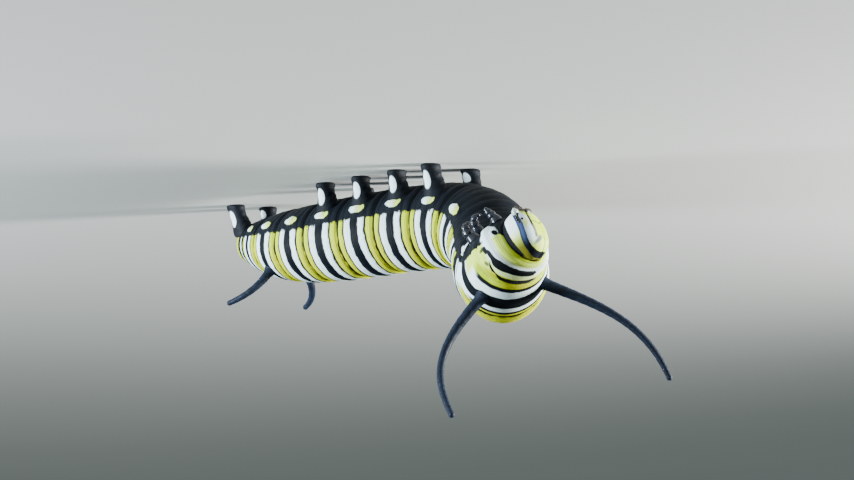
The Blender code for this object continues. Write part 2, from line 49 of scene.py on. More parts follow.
# Rings along and sides round each kind of piece.
SKIN_GRID = (390, 156)
TENTACLE_GRID = (120, 32)
PROLEG_GRID = (60, 36)
HEAD_GRID = (110, 120)
LEG_GRID = (110, 26)
ANTENNA_GRID = (48, 24)
EYE_GRID = (14, 20)
# A direction that no limb starts along, to turn the first ring of a limb by.
SIDE_HINT = (0.31, 0.52, 0.79)

# Tail first: name, length, width, height, then yaw, pitch and roll of the spine at its middle.
SEGMENTS = [
    ("abdomen_10", 2.3, 3.7, 3.3, 6.0, 12.0, 0.0),
    ("abdomen_9", 1.9, 4.8, 4.3, 4.0, 10.0, 0.0),
    ("abdomen_8", 2.8, 5.7, 5.3, 1.0, 7.0, 0.0),
    ("abdomen_7", 3.1, 6.3, 5.9, -3.0, 3.0, 0.0),
    ("abdomen_6", 3.4, 6.6, 6.2, -6.0, 0.5, 0.0),
    ("abdomen_5", 3.4, 6.7, 6.3, -8.0, 0.0, 0.0),
    ("abdomen_4", 3.4, 6.7, 6.3, -8.0, 2.0, 0.0),
    ("abdomen_3", 3.3, 6.7, 6.3, -4.5, 7.4, 0.0),
    ("abdomen_2", 3.1, 6.6, 6.3, 10.9, 27.6, 0.0),
    ("abdomen_1", 2.9, 6.6, 6.3, 34.6, 47.4, 0.0),
    ("thorax_3", 2.8, 6.7, 6.7, 39.8, 19.3, -5.6),
    ("thorax_2", 3.5, 5.8, 5.55, 36.7, -17.2, 11.1),
    ("thorax_1", 2.0, 4.8, 4.45, 13.0, -26.9, -5.1),
    ("head", 2.6, 3.25, 3.45, -15.8, -26.2, 1.5),
]
START = np.array([-19.42, -2.5, 2.75])

# The front pair: angle from the back line, then two bends and the tip, from the root.
FRONT_TENTACLES = {
    "left": (50.0, (-2.82, 2.84, 3.90), (-1.09, 3.86, 6.01), (1.18, 4.72, 8.58)),
    "right": (-50.0, (2.55, -2.43, 1.65), (5.15, -4.65, 2.91), (6.05, -5.89, 7.31)),
}
FRONT_RADII = (0.42, 0.34, 0.27, 0.24, 0.21)
REAR_LENGTH = 4.2
REAR_RADII = (0.36, 0.28, 0.24, 0.20)
REAR_ANGLE = 40.0
# Two bends and the aim of a rear tentacle, each outwards and along the body.
REAR_WAYS = ((1.5, 0.0), (2.6, -0.8), (0.75, -0.55))
TENTACLE_RINGS = 38.0
# Widening of the feet of the front and rear tentacles, and how deep a tentacle starts in the skin.
FOOT_FLARES = (0.10, 0.14)
TENTACLE_SUNK = 0.55

# The legs: segment, place along it, angle, size, then the bend and the tip, each outwards, down
# and forwards from the root.
LEG_REACH = 2.45
LEGS = {
    "leg_1": ("thorax_1", 0.52, 150.0, 0.85, (1.10, 0.90, 0.10), (0.60, 1.20, 0.0)),
    "leg_2": ("thorax_2", 0.50, 148.0, 1.0, (0.80, 1.15, 0.20), (-0.10, 1.45, 0.20)),
    "leg_3": ("thorax_3", 0.52, 147.0, 0.90, (0.80, 1.15, 0.20), (-0.10, 1.45, 0.20)),
}
LEG_START = (0.85, 0.10)
LEG_SUNK = 0.12
# Radius along a leg of full length, from the skin over its joints to the claw.
LEG_PROFILE = (
    (0.0, 0.47), (0.12, 0.50), (0.34, 0.49), (0.58, 0.43), (0.78, 0.37), (0.84, 0.33), (0.90, 0.35),
    (1.10, 0.395), (1.34, 0.33), (1.42, 0.265), (1.48, 0.29), (1.64, 0.305), (1.84, 0.25), (1.92, 0.185),
    (1.98, 0.20), (2.16, 0.165), (2.22, 0.115), (2.28, 0.085), (2.38, 0.05), (2.45, 0.012),
)
# Lobes low on the sides of the thoracic segments: place, angle, height, spread along and around.
SIDE_LOBES = {
    12: (0.54, 107.0, 0.32, 0.36, 12.0),
    11: (0.50, 124.0, 0.24, 0.42, 9.0),
    10: (0.50, 122.0, 0.24, 0.42, 9.0),
}

# The folds between segments: depth, and spread as a share of a segment.
FOLD_DEPTH = 0.17
FOLD_SPREAD = 0.045
# Creases and swells across each segment: place along it as a share, height and spread.
CREASES = (
    (0.185, -0.030, 0.030), (0.36, -0.022, 0.030), (0.595, -0.030, 0.030), (0.79, -0.055, 0.030),
    (0.27, 0.02, 0.07), (0.48, 0.035, 0.07), (0.69, 0.02, 0.07), (0.90, 0.03, 0.07),
)

# The prolegs, then the anal pair: angle from the back line, half sizes of root and sole, spread.
PROLEG_ANGLE = 138.0
PROLEG_ROOT = (0.85, 0.95)
PROLEG_SOLE = (0.62, 0.80)
PROLEG_SPREAD = 2.25
ANAL_ANGLE = 132.0
ANAL_ROOT = (0.80, 0.85)
ANAL_SOLE = (0.75, 0.65)
ANAL_SPREAD = 1.55
ANAL_BACK = -0.25

# The head: half sizes, depth of its widest place, bulge before and behind that, rear face, tuck.
HEAD_HALF_WIDTH = 1.63
HEAD_HALF_HEIGHT = 1.80
HEAD_WIDEST = 0.95
HEAD_BULGE = 1.05
HEAD_REAR_BULGE = 2.10
HEAD_REAR = -0.35
HEAD_TUCK = (0.56, 0.08)
EYE_RADIUS = 0.11
EYES = ((1.44, -0.56), (1.40, -0.78), (1.30, -0.98), (1.16, -1.14), (1.02, -1.28), (1.22, -0.72))
ANTENNA_ROOT = (0.95, -1.42)
ANTENNA_AIM = (0.30, 0.55, 0.78)
ANTENNA_LENGTH = 0.46
# Widths of the small feelers: share of the length and radius there.
ANTENNA_WIDTHS = (
    (0.0, 0.0), (0.01, 0.24), (0.44, 0.235), (0.60, 0.20), (0.63, 0.14), (0.80, 0.12), (0.83, 0.07),
    (0.97, 0.04), (1.0, 0.0),
)
PALP_WIDTHS = (
    (0.0, 0.0), (0.01, 0.17), (0.45, 0.15), (0.50, 0.11), (0.75, 0.10), (0.80, 0.06), (0.97, 0.05),
    (1.0, 0.0),
)
SPOUT_WIDTHS = ((0.0, 0.0), (0.01, 0.13), (0.5, 0.09), (0.97, 0.035), (1.0, 0.0))

# The skin runs plain to this place on the first segment, then rolls over to the rear of the head.
SHOULDER_PLACE = 0.50
SHOULDER_COUNT = 12.5
LIP_COUNT = 12.95
# The shoulder's bend: its guide ring, the plane where its lip meets the head, and the lip's clearance.
GUIDE_PLACE = 0.80
GUIDE_SCALE = 0.94
LIP_PLACE = 0.82
LIP_CLEAR = 0.03
CROWN_SWELL = 0.22
# Shares of the skin's rings where the tail's pole, the shoulder, the lip and the hidden closure begin.
TAIL_SHARE = 0.012
SHOULDER_SHARE = 0.935
LIP_SHARE = 0.975
CLOSE_SHARE = 0.988

# The view: bearing and height of the eye, lean, distance, size of a pixel there, aim in the picture.
VIEW_BEARING = 44.62
VIEW_HEIGHT = 8.0
VIEW_LEAN = 3.0
VIEW_DISTANCE = 200.0
PIXEL = 0.07
PICTURE = (854, 480)
AIM_PIXEL = (506.0, 266.0)
SENSOR = 36.0
# Lamps: sideways and down in the picture, towards the eye, size, power, colour.
LAMPS = (
    ("key", -140.0, 8.0, 25.0, 36.0, 0.85, (0.86, 0.95, 1.0)),
    ("face_lamp", 140.0, 8.0, -20.0, 36.0, 1.30, (1.0, 1.0, 0.96)),
    ("fill", -20.0, 60.0, 170.0, 120.0, 0.05, (0.92, 0.96, 1.0)),
)
# Least height of a lamp's middle over the floor.
LAMP_HEIGHT = 12.0
STUDIO_AIR = (0.80, 0.93, 0.90)
STUDIO_STRENGTH = 0.20
# The floor's size, and the nearest and farthest that the eye sees, in metres.
FLOOR_SIZE = 4.0
SIGHT = (0.005, 20.0)


def pick(at, places, table):
    """Rows of a table of vectors, read at places along a line."""
    return np.stack([np.interp(at, places, table[:, k]) for k in range(3)], -1)


class Spine:
    """The line through the middle of the body, with the body's half sizes along it."""

    def __init__(self):
        self.names = [row[0] for row in SEGMENTS]
        lengths = np.array([row[1] for row in SEGMENTS])
        self.edges = np.concatenate([[0.0], np.cumsum(lengths)])
        self.centres = (self.edges[1:] + self.edges[:-1]) / 2
        self.s = np.arange(0.0, self.edges[-1] + STEP, STEP)
        yaw = np.radians(self.blend(4))
        pitch = np.radians(self.blend(5))
        roll = np.radians(self.blend(6))
        self.width = self.blend(2) / 2
        self.height = self.blend(3) / 2
        self.along = np.stack([np.cos(yaw) * np.cos(pitch), np.sin(yaw) * np.cos(pitch), np.sin(pitch)], 1)
        moves = (self.along[1:] + self.along[:-1]) / 2 * STEP
        self.point = START + np.concatenate([np.zeros((1, 3)), np.cumsum(moves, axis=0)])
        level = np.stack([-np.sin(yaw), np.cos(yaw), 0 * yaw], 1)
        upright = np.cross(self.along, level)
        self.left = np.cos(roll)[:, None] * level + np.sin(roll)[:, None] * upright
        self.up = np.cross(self.along, self.left)

    def blend(self, column):
        """Pass smoothly through one column of the table, from segment centre to segment centre."""
        values = np.array([row[column] for row in SEGMENTS], float)
        x = np.concatenate([[self.edges[0] - 1.0], self.centres, [self.edges[-1] + 1.0]])
        y = np.concatenate([values[:1], values, values[-1:]])
        slope = np.gradient(y, x)
        i = np.clip(np.searchsorted(x, self.s) - 1, 0, len(x) - 2)
        step = x[i + 1] - x[i]
        t = np.clip((self.s - x[i]) / step, 0.0, 1.0)
        start = (2 * t**3 - 3 * t**2 + 1) * y[i] + (t**3 - 2 * t**2 + t) * step * slope[i]
        end = (3 * t**2 - 2 * t**3) * y[i + 1] + (t**3 - t**2) * step * slope[i + 1]
        return start + end

    def place(self, name, part):
        """Distance along the spine of a point in a segment: 0 at its rear edge, 1 at its front."""
        i = self.names.index(name)
        return self.edges[i] + part * (self.edges[i + 1] - self.edges[i])

    def count(self, s):
        """Segments passed since the tail, as a number that runs from 0 to 13 at the collar."""
        return np.interp(s, self.edges, np.arange(len(self.edges)))

    def axes(self, s):
        """The middle of the body at s, with its directions along, to the left and up."""
        along = unit(pick(s, self.s, self.along))
        left = pick(s, self.s, self.left)
        left = unit(left - along * np.sum(left * along, -1, keepdims=True))
        return pick(s, self.s, self.point), along, left, np.cross(along, left)

    def half_sizes(self, s):
        """Half the width and half the height of the body at s."""
        return np.interp(s, self.s, self.width), np.interp(s, self.s, self.height)

    def surface(self, s, angle, lift=0.0, scale=1.0):
        """Points on the body at an angle from the back line, raised from the skin by lift."""
        s, angle, lift, scale = alike(s, angle, lift, scale)
        middle, _, left, up = self.axes(s)
        wide, high = self.half_sizes(s)
        out = self.outward(s, angle)
        across = (np.sin(angle) * wide * scale)[..., None]
        upward = (np.cos(angle) * high * scale)[..., None]
        return middle + left * across + up * upward + out * lift[..., None]

    def outward(self, s, angle):
        """The direction straight out of the skin at an angle from the back line."""
        _, _, left, up = self.axes(s)
        wide, high = self.half_sizes(s)
        return unit(left * (np.sin(angle) * high)[..., None] + up * (np.cos(angle) * wide)[..., None])


def alike(*values):
    """Numbers and arrays as arrays of one shape."""
    return np.broadcast_arrays(*(np.asarray(value, float) for value in values))


def unit(v):
    return v / np.linalg.norm(v, axis=-1, keepdims=True)


def way_from(low, high, x):
    """The share of the way from low to high that x has come, held between 0 and 1."""
    return np.clip((x - low) / (high - low), 0.0, 1.0)


def ease(x, low, high):
    """Smooth rise from 0 at low to 1 at high."""
    t = way_from(low, high, x)
    return t * t * (3.0 - 2.0 * t)


def bump_at(x, centre, spread):
    return np.exp(-(((x - centre) / spread) ** 2))


larva = Spine()
shoulder_s = larva.place("thorax_1", SHOULDER_PLACE)


class HeadFrame:
    """Places on the head: x forward from its rear face, y to its left, z up, in millimetres."""

    def __init__(self):
        rear = larva.axes(larva.place("head", 0.0))[0]
        _, self.along, self.left, self.up = larva.axes(larva.place("head", 0.5))
        self.origin = rear - self.along * HEAD_TUCK[0] - self.up * HEAD_TUCK[1]

    def point(self, x, y, z):
        x, y, z = alike(x, y, z)
        return self.origin + self.along * x[..., None] + self.left * y[..., None] + self.up * z[..., None]

    def face_depth(self, y, z):
        """How far forward the plain capsule lies at a place on the face."""
        room = 1.0 - (y / HEAD_HALF_WIDTH) ** 2 - (z / HEAD_HALF_HEIGHT) ** 2
        return HEAD_WIDEST + HEAD_BULGE * np.sqrt(np.maximum(room, 0.0))

    def face_point(self, y, z, lift=0.0):
        """A point on the face, raised from it by lift."""
        x = self.face_depth(y, z)
        slope = unit(np.array([
            (x - HEAD_WIDEST) / HEAD_BULGE**2, y / HEAD_HALF_WIDTH**2, z / HEAD_HALF_HEIGHT**2
        ])) * lift
        return self.point(x + slope[0], y + slope[1], z + slope[2])


head_frame = HeadFrame()


def head_scale(x):
    """Size of the capsule at a depth from its rear face, as a share of its size at the widest place."""
    reach = np.where(x < HEAD_WIDEST, HEAD_REAR_BULGE, HEAD_BULGE)
    return np.sqrt(np.maximum(1.0 - ((HEAD_WIDEST - x) / reach) ** 2, 0.0))


def sum_of_two(operation, turned=False):
    """A sum of a wire with a wire or number, in the written order or turned round."""

    def method(self, other):
        pair = (other, self) if turned else (self, other)
        return self.sum(operation, *pair)

    return method


class Wire:
    """One socket of a material, so that sums on it add their nodes."""

    __add__ = sum_of_two("ADD")
    __radd__ = sum_of_two("ADD", True)
    __sub__ = sum_of_two("SUBTRACT")
    __rsub__ = sum_of_two("SUBTRACT", True)
    __mul__ = sum_of_two("MULTIPLY")
    __truediv__ = sum_of_two("DIVIDE")
    __pow__ = sum_of_two("POWER")
    most = sum_of_two("MAXIMUM")

    def __init__(self, paint, socket):
        self.paint = paint
        self.socket = socket

    def sum(self, operation, *values):
        return self.paint.node("Math", {"operation": operation}, dict(enumerate(values)))

    def __abs__(self):
        return self.sum("ABSOLUTE", self)

    def __neg__(self):
        return self.sum("MULTIPLY", self, -1.0)

    def fraction(self):
        return self.sum("FRACT", self)

    def rise(self, low, high):
        """Smooth rise from 0 at low to 1 at high."""
        return self.paint.node(
            "MapRange", {"interpolation_type": "SMOOTHSTEP"},
            {"Value": self, "From Min": low, "From Max": high}
        )

    def near(self, centre, half, soft):
        """1 within half of centre, falling to 0 over soft."""
        return 1.0 - abs(self - centre).rise(half - soft, half + soft)


class Paint:
    """One material, with its Principled shader and the tools to feed it."""

    def __init__(self, name):
        self.material = bpy.data.materials.new(name)
        self.material.use_nodes = True
        self.tree = self.material.node_tree
        self.shader = self.tree.nodes["Principled BSDF"]

    def node(self, kind, settings=None, values=None, output=0):
        """Add a node: its settings first, then the values or wires of its sockets."""
        made = self.tree.nodes.new("ShaderNode" + kind)
        for key, value in (settings or {}).items():
            if key == "stops":
                self.fill_ramp(made.color_ramp, value)
            else:
                setattr(made, key, value)
        for key, value in (values or {}).items():
            self.feed(made.inputs[key], value)
        return Wire(self, made.outputs[output])

    def fill_ramp(self, ramp, stops):
        """Give a new ramp its stops, the first of them at 0."""
        while len(ramp.elements) > 1:
            ramp.elements.remove(ramp.elements[-1])
        ramp.elements[0].color = (*stops[0][1], 1.0)
        for position, colour in stops[1:]:
            ramp.elements.new(position).color = (*colour, 1.0)

    def feed(self, socket, value):
        """Give a socket a wire, a colour of three values, or a plain value."""
        if isinstance(value, Wire):
            self.tree.links.new(value.socket, socket)
        elif socket.type == "RGBA":
            socket.default_value = (*value, 1.0)
        else:
            socket.default_value = value

    def set(self, **values):
        """Give the shader's sockets their values or wires, each named with _ for a space."""
        for key, value in values.items():
            self.feed(self.shader.inputs[key.replace("_", " ")], value)

    def ramp(self, factor, stops):
        return self.node("ValToRGB", {"stops": stops}, {"Fac": factor})

    def mix(self, factor, a, b):
        """From colour a at factor 0 to colour b at factor 1."""
        return self.node("Mix", {"data_type": "RGBA"}, {"Factor": factor, 6: a, 7: b}, 2)

    def layers(self, colour, *layers):
        """A base colour with others laid over it in turn, each as far as its factor says."""
        for factor, over in layers:
            colour = self.mix(factor, colour, over)
        return colour

    def tinge(self, factor, colour, tint):
        """The colour multiplied by a tint, as far as the factor says."""
        return self.node(
            "Mix", {"data_type": "RGBA", "blend_type": "MULTIPLY"},
            {"Factor": factor, 6: colour, 7: tint}, 2
        )

    def vector(self, operation, a, b, output=0):
        return self.node("VectorMath", {"operation": operation}, {0: a, 1: b}, output)

    def place(self):
        """Position on the piece in millimetres."""
        metres = self.node("TexCoord", {}, {}, 3)
        return self.vector("MULTIPLY", metres, (1.0 / MM,) * 3)

    def noise(self, scale, detail=3.0, rough=0.5, seed=0.0):
        """Soft mottling, with its scale per millimetre; seed moves it to another spot."""
        spot = self.vector("ADD", self.place(), (seed,) * 3)
        values = {"Vector": spot, "Scale": scale, "Detail": detail, "Roughness": rough}
        return self.node("TexNoise", {}, values)

    def pits(self, scale):
        return self.node("TexVoronoi", {}, {"Vector": self.place(), "Scale": scale})

    def map_values(self, name):
        """The two numbers that a piece's own map carries."""
        spot = self.node("UVMap", {"uv_map": name})
        parts = self.tree.nodes.new("ShaderNodeSeparateXYZ")
        self.feed(parts.inputs[0], spot)
        return Wire(self, parts.outputs[0]), Wire(self, parts.outputs[1])

    def reach(self, origin, direction):
        """Distance in millimetres from a point, measured along a direction."""
        spot = self.vector("SUBTRACT", self.place(), tuple(origin))
        return self.vector("DOT_PRODUCT", spot, tuple(direction), 1)

    def finish(self, colour, rough, height, depth, shine, **others):
        """Feed the shader, with a bump whose depth is in millimetres, and give the material."""
        bump = self.node("Bump", {}, {"Height": height, "Distance": depth * MM, "Strength": 1.0})
        self.set(Base_Color=colour, Roughness=rough, Normal=bump, Specular_IOR_Level=shine, **others)
        return self.material


BLACK = (0.0025, 0.0040, 0.0070)
SOOT = (0.005, 0.007, 0.011)
WHITE = (0.67, 0.82, 0.91)
CREAM = (0.62, 0.76, 0.34)
PALE = (0.52, 0.68, 0.09)
YELLOW = (0.44, 0.60, 0.010)
GOLD = (0.42, 0.46, 0.008)
OLIVE = (0.115, 0.115, 0.010)
LEMON = (0.30, 0.42, 0.004)
# dim tint for the painted shade over the back of the front segments
PAINTED_SHADE_TINT = (0.34, 0.34, 0.26)
SKIN_STAIN = (0.86, 0.88, 0.62)
HEAD_STAIN = (0.84, 0.86, 0.62)
# grey-blue for the painted shade on the face, also tinting the upper part of the third arc
SLATE_SHADE_AND_LINE = (0.085, 0.135, 0.18)
BRONZE = (0.016, 0.016, 0.009)
FACE_LINE = (0.030, 0.032, 0.022)
# blue of the painted reflection on the black arcs of the head
PAINTED_REFLECTION_BLUE = (0.060, 0.100, 0.250)
MOUTH_GREY = (0.07, 0.085, 0.070)
SOLE_BROWN = (0.10, 0.065, 0.035)


def hard_stops(bands, soft=0.012):
    """Ramp stops from (start, colour) bands, each with a short soft edge."""
    stops = [(0.0, bands[0][1])]
    for (_, before), (start, after) in zip(bands, bands[1:]):
        stops.append((start - soft, before))
        stops.append((start + soft, after))
    return stops


def blob(across, upward, centre, half, ragged=0.0, soft=0.25):
    """1 inside an oval patch given by its middle and half sizes, with a ragged edge."""
    reach = ((across - centre[0]) / half[0]) ** 2.0 + ((upward - centre[1]) / half[1]) ** 2.0
    return (reach + ragged).rise(1.0 + soft, 1.0 - soft)


def segment_bands(bright):
    """The bands of a plain segment, from its rear edge to its front edge."""
    return hard_stops([
        (0.0, BLACK), (0.030, bright), (0.160, BLACK), (0.205, WHITE), (0.365, BLACK), (0.590, WHITE),
        (0.755, BLACK), (0.810, bright), (0.972, BLACK),
    ])


def skin_paint():
    """Yellow, black and white bands that follow the segments, black below, spots on the lobes."""
    paint = Paint("banded_skin")
    count, around = paint.map_values("Bands")
    angle = around * 180.0
    drift = (paint.noise(0.9, 2.0, 0.5) - 0.5) * 0.06
    flutter = (paint.noise(1.7, 1.5, 0.5, 7.0) - 0.5) * 0.050
    wave = count + flutter
    calm = count + flutter * 0.5
    t = (wave + drift).fraction()
    # towards the sides the gold turns paler
    paler = angle.rise(60.0, 95.0) * 0.45
    colour = paint.mix(paler, paint.ramp(t, segment_bands(GOLD)), paint.ramp(t, segment_bands(YELLOW)))
    # the side of the third thoracic segment's front edge is white, without the thin lines
    side_white = angle.rise(70.0, 88.0) * wave.rise(10.84, 10.90) * wave.rise(11.4, 11.3)
    tail = hard_stops([(0.0, SOOT), (0.50, GOLD), (0.60, SOOT), (0.80, WHITE), (0.92, BLACK)])
    colour = paint.layers(
        colour,
        (side_white, WHITE),
        (calm.rise(10.99, 11.01), second_segment(paint, calm, angle)),
        (calm.rise(11.94, 11.96), first_segment(paint, calm, angle)),
        (wave.rise(1.0, 0.98), paint.ramp(wave, tail)),
    )
    # painted shade: a soft darkening over the back of the front segments and across the front of the collar
    painted_shade = angle.rise(62.0, 12.0) * wave.rise(10.7, 11.2) * (0.55 + wave.rise(11.9, 12.6) * 0.45)
    painted_shade = (painted_shade * 0.60).most(wave.near(12.56, 0.10, 0.05) * angle.rise(75.0, 30.0) * 0.62)
    colour = paint.tinge(painted_shade, colour, PAINTED_SHADE_TINT)
    colour = belly_and_lobes(paint, count, wave, angle, colour)
    # soft staining, so that no band is one flat colour
    stain = paint.noise(1.6, 4.0, 0.6, 11.0).rise(0.35, 0.75)
    grain = paint.noise(14.0, 3.0, 0.6)
    creases = paint.node("TexWave", {"wave_type": "BANDS", "bands_direction": "X"}, {
        "Vector": paint.node("CombineXYZ", {}, {0: count * 3.2, 1: around * 3.0, 2: 0.0}),
        "Scale": 1.9, "Distortion": 1.6, "Detail": 2.0, "Detail Scale": 2.0,
    }, 1)
    return paint.finish(
        paint.tinge(stain * 0.45, colour, SKIN_STAIN), 0.46 + grain * 0.22,
        grain * 0.5 + creases * 0.6 + paint.pits(9.0) * 0.5, 0.022, 0.06,
        Subsurface_Weight=0.15, Subsurface_Scale=0.3 * MM, Subsurface_Radius=(1.0, 0.8, 0.4)
    )


def second_segment(paint, wave, angle):
    """The segment of the front tentacles: thin lines, white, broad black, white, thin black, gold."""
    lines = hard_stops([
        (0.0, BLACK), (0.014, GOLD), (0.128, BLACK), (0.192, WHITE), (0.60, WHITE), (0.79, GOLD),
    ], 0.006)
    bright = paint.layers(
        GOLD,
        (angle.rise(10.0, 50.0), YELLOW),
        (angle.rise(74.0, 90.0), PALE),
        (blob(wave, angle, (11.87, 62.0), (0.13, 15.0), 0.0, 0.8), LEMON),
    )
    front_edge = 11.575 - angle.rise(52.0, 66.0) * 0.050
    rear_edge = 11.312 - angle.rise(56.0, 74.0) * 0.040
    broad = (wave - rear_edge).rise(-0.012, 0.012) * (wave - front_edge).rise(0.010, -0.010)
    thin = wave.near(11.782, 0.042, 0.014) * angle.rise(80.0, 66.0)
    return paint.layers(
        paint.ramp(wave - 11.0, lines),
        (angle.rise(56.0, 72.0) * wave.rise(11.4, 11.3), WHITE),
        (wave.rise(11.78, 11.80), bright),
        (angle.rise(78.0, 92.0) * wave.rise(11.52, 11.60), PALE),
        (broad.most(thin), BLACK),
    )


def first_segment(paint, wave, angle):
    """The collar: gold fold, cream, a thick black bar across the back, white, then pale yellow."""
    middle, _, left, _ = larva.axes(larva.place("thorax_1", 0.45))
    lateral = paint.reach(middle, left)
    back = paint.ramp(wave - 12.0, [
        (0.0, GOLD), (0.02, GOLD), (0.06, PALE), (0.14, CREAM), (0.26, CREAM), (0.32, WHITE), (0.55, WHITE),
        (0.61, PALE), (0.70, PALE), (0.82, YELLOW), (0.97, GOLD),
    ])
    side = paint.ramp(wave - 12.0, [
        (0.0, PALE), (0.25, PALE), (0.36, WHITE), (0.56, WHITE), (0.65, PALE), (0.88, PALE), (0.95, YELLOW),
    ])
    colour = paint.mix(angle.rise(45.0, 80.0), back, side)
    # the line along the fold between the first two segments and the dark spot at its side are painted black:
    # partly the skin's own black line, partly painted shade in the crease towards the back line
    run = ((angle - 28.0) / 27.0).most(0.0) ** 1.5
    fold = (abs(wave - 11.970 - run * 0.20) / (0.020 + run * 0.030)).rise(1.5, 0.8)
    fold = fold * angle.rise(63.0, 56.0) * lateral.rise(-1.7, -1.2)
    rough = (paint.noise(3.0, 3.0, 0.6, 31.0) - 0.5) * 3.0
    fold = fold.most(blob(wave, angle, (12.12, 61.0), (0.042, 5.2), rough * 0.7, 0.85) * 0.8)
    end = ((-0.85 - lateral).most(0.0) / 0.22) + ((angle - 68.0).most(0.0) / 9.0)
    across = wave - 12.410 + angle.rise(18.0, 42.0) * 0.03 - angle.rise(50.0, 62.0) * 0.03
    across = across / (0.118 + angle.rise(22.0, 40.0) * 0.015 - angle.rise(46.0, 62.0) * 0.06)
    bar = (end * end + across * across).rise(1.25, 0.85)
    hook = blob(wave, angle, (12.34, 79.0), (0.075, 7.5), rough * 0.5)
    hook = hook.most(blob(wave, angle, (12.22, 85.0), (0.11, 4.0), rough * 0.8, 0.6) * 0.93)
    return paint.mix(bar.most(fold).most(hook), colour, BLACK)


def belly_and_lobes(paint, count, wave, angle, colour):
    """Black belly with a ragged edge, white lobes on it, and the white bulb with its black dot."""
    ragged = (paint.noise(2.4, 4.0, 0.65, 3.0) - 0.5) * 14.0
    limit = 106.0 + wave.rise(10.9, 11.1) * 4.0 - wave.rise(11.55, 12.40) * 15.0
    limit = limit + wave.rise(12.42, 12.55) * 10.0
    part = count.fraction()
    size = paint.noise(0.35, 1.0, 0.5, 19.0) * 0.5 + 0.72
    reach = ((part - 0.5) / 0.20) ** 2.0 + ((angle - 121.0) / 7.0) ** 2.0
    lobe = (reach / size + ragged * 0.10).rise(1.15, 0.85)
    pale_lobe = paint.mix((part - 0.5 + ragged * 0.02).rise(-0.15, 0.15), WHITE, PALE)
    edge = ragged * 0.10
    fold = blob(wave, angle, (10.86, 121.0), (0.19, 4.5), edge)
    fold = fold.most(blob(wave, angle, (10.84, 129.0), (0.09, 7.5), edge))
    return paint.layers(
        colour,
        ((angle + ragged - limit).rise(-1.6, 1.6), SOOT),
        (blob(wave, angle, (10.20, 96.0), (0.24, 14.0), ragged * 0.05), SOOT),
        (lobe * count.rise(0.9, 1.0) * count.rise(9.1, 9.0), pale_lobe),
        (fold, WHITE),
        (blob(wave, angle, (12.50, 109.0), (0.26, 16.0), 0.0, 0.4), WHITE),
        (blob(count, angle, (12.72, 106.5), (0.060, 6.5)), BLACK),
    )


def tentacle_paint():
    """Soft black with a slate bloom and fine rings."""
    paint = Paint("tentacle_skin")
    reach, _ = paint.map_values("Bands")
    bloom = paint.noise(3.0, 3.0, 0.6).rise(0.3, 0.8)
    colour = paint.mix(bloom, (0.006, 0.009, 0.016), (0.010, 0.017, 0.036))
    grain = paint.noise(16.0, 3.0, 0.6)
    rings = reach.sum("SINE", reach * TENTACLE_RINGS * 2.0 * math.pi)
    return paint.finish(
        colour, 0.45 + grain * 0.2, grain * 0.4 + rings * 0.12 + paint.pits(14.0) * 0.3, 0.010, 0.10,
        Sheen_Weight=0.06, Sheen_Tint=(0.25, 0.40, 0.9)
    )


def proleg_paint():
    """Black fleshy stub with a pale plate on its outer side and a brown rim at the sole."""
    paint = Paint("proleg_skin")
    reach, around = paint.map_values("Bands")
    plate = (((reach - 0.55) / 0.20) ** 2.0 + ((around - 0.5) / 0.16) ** 2.0).rise(1.2, 0.8)
    colour = paint.layers(SOOT, (plate, WHITE), (reach.rise(0.90, 0.97), SOLE_BROWN))
    grain = paint.noise(12.0, 3.0, 0.6)
    return paint.finish(colour, 0.48 + grain * 0.2, grain * 0.6 + paint.pits(8.0) * 0.7, 0.025, 0.08)


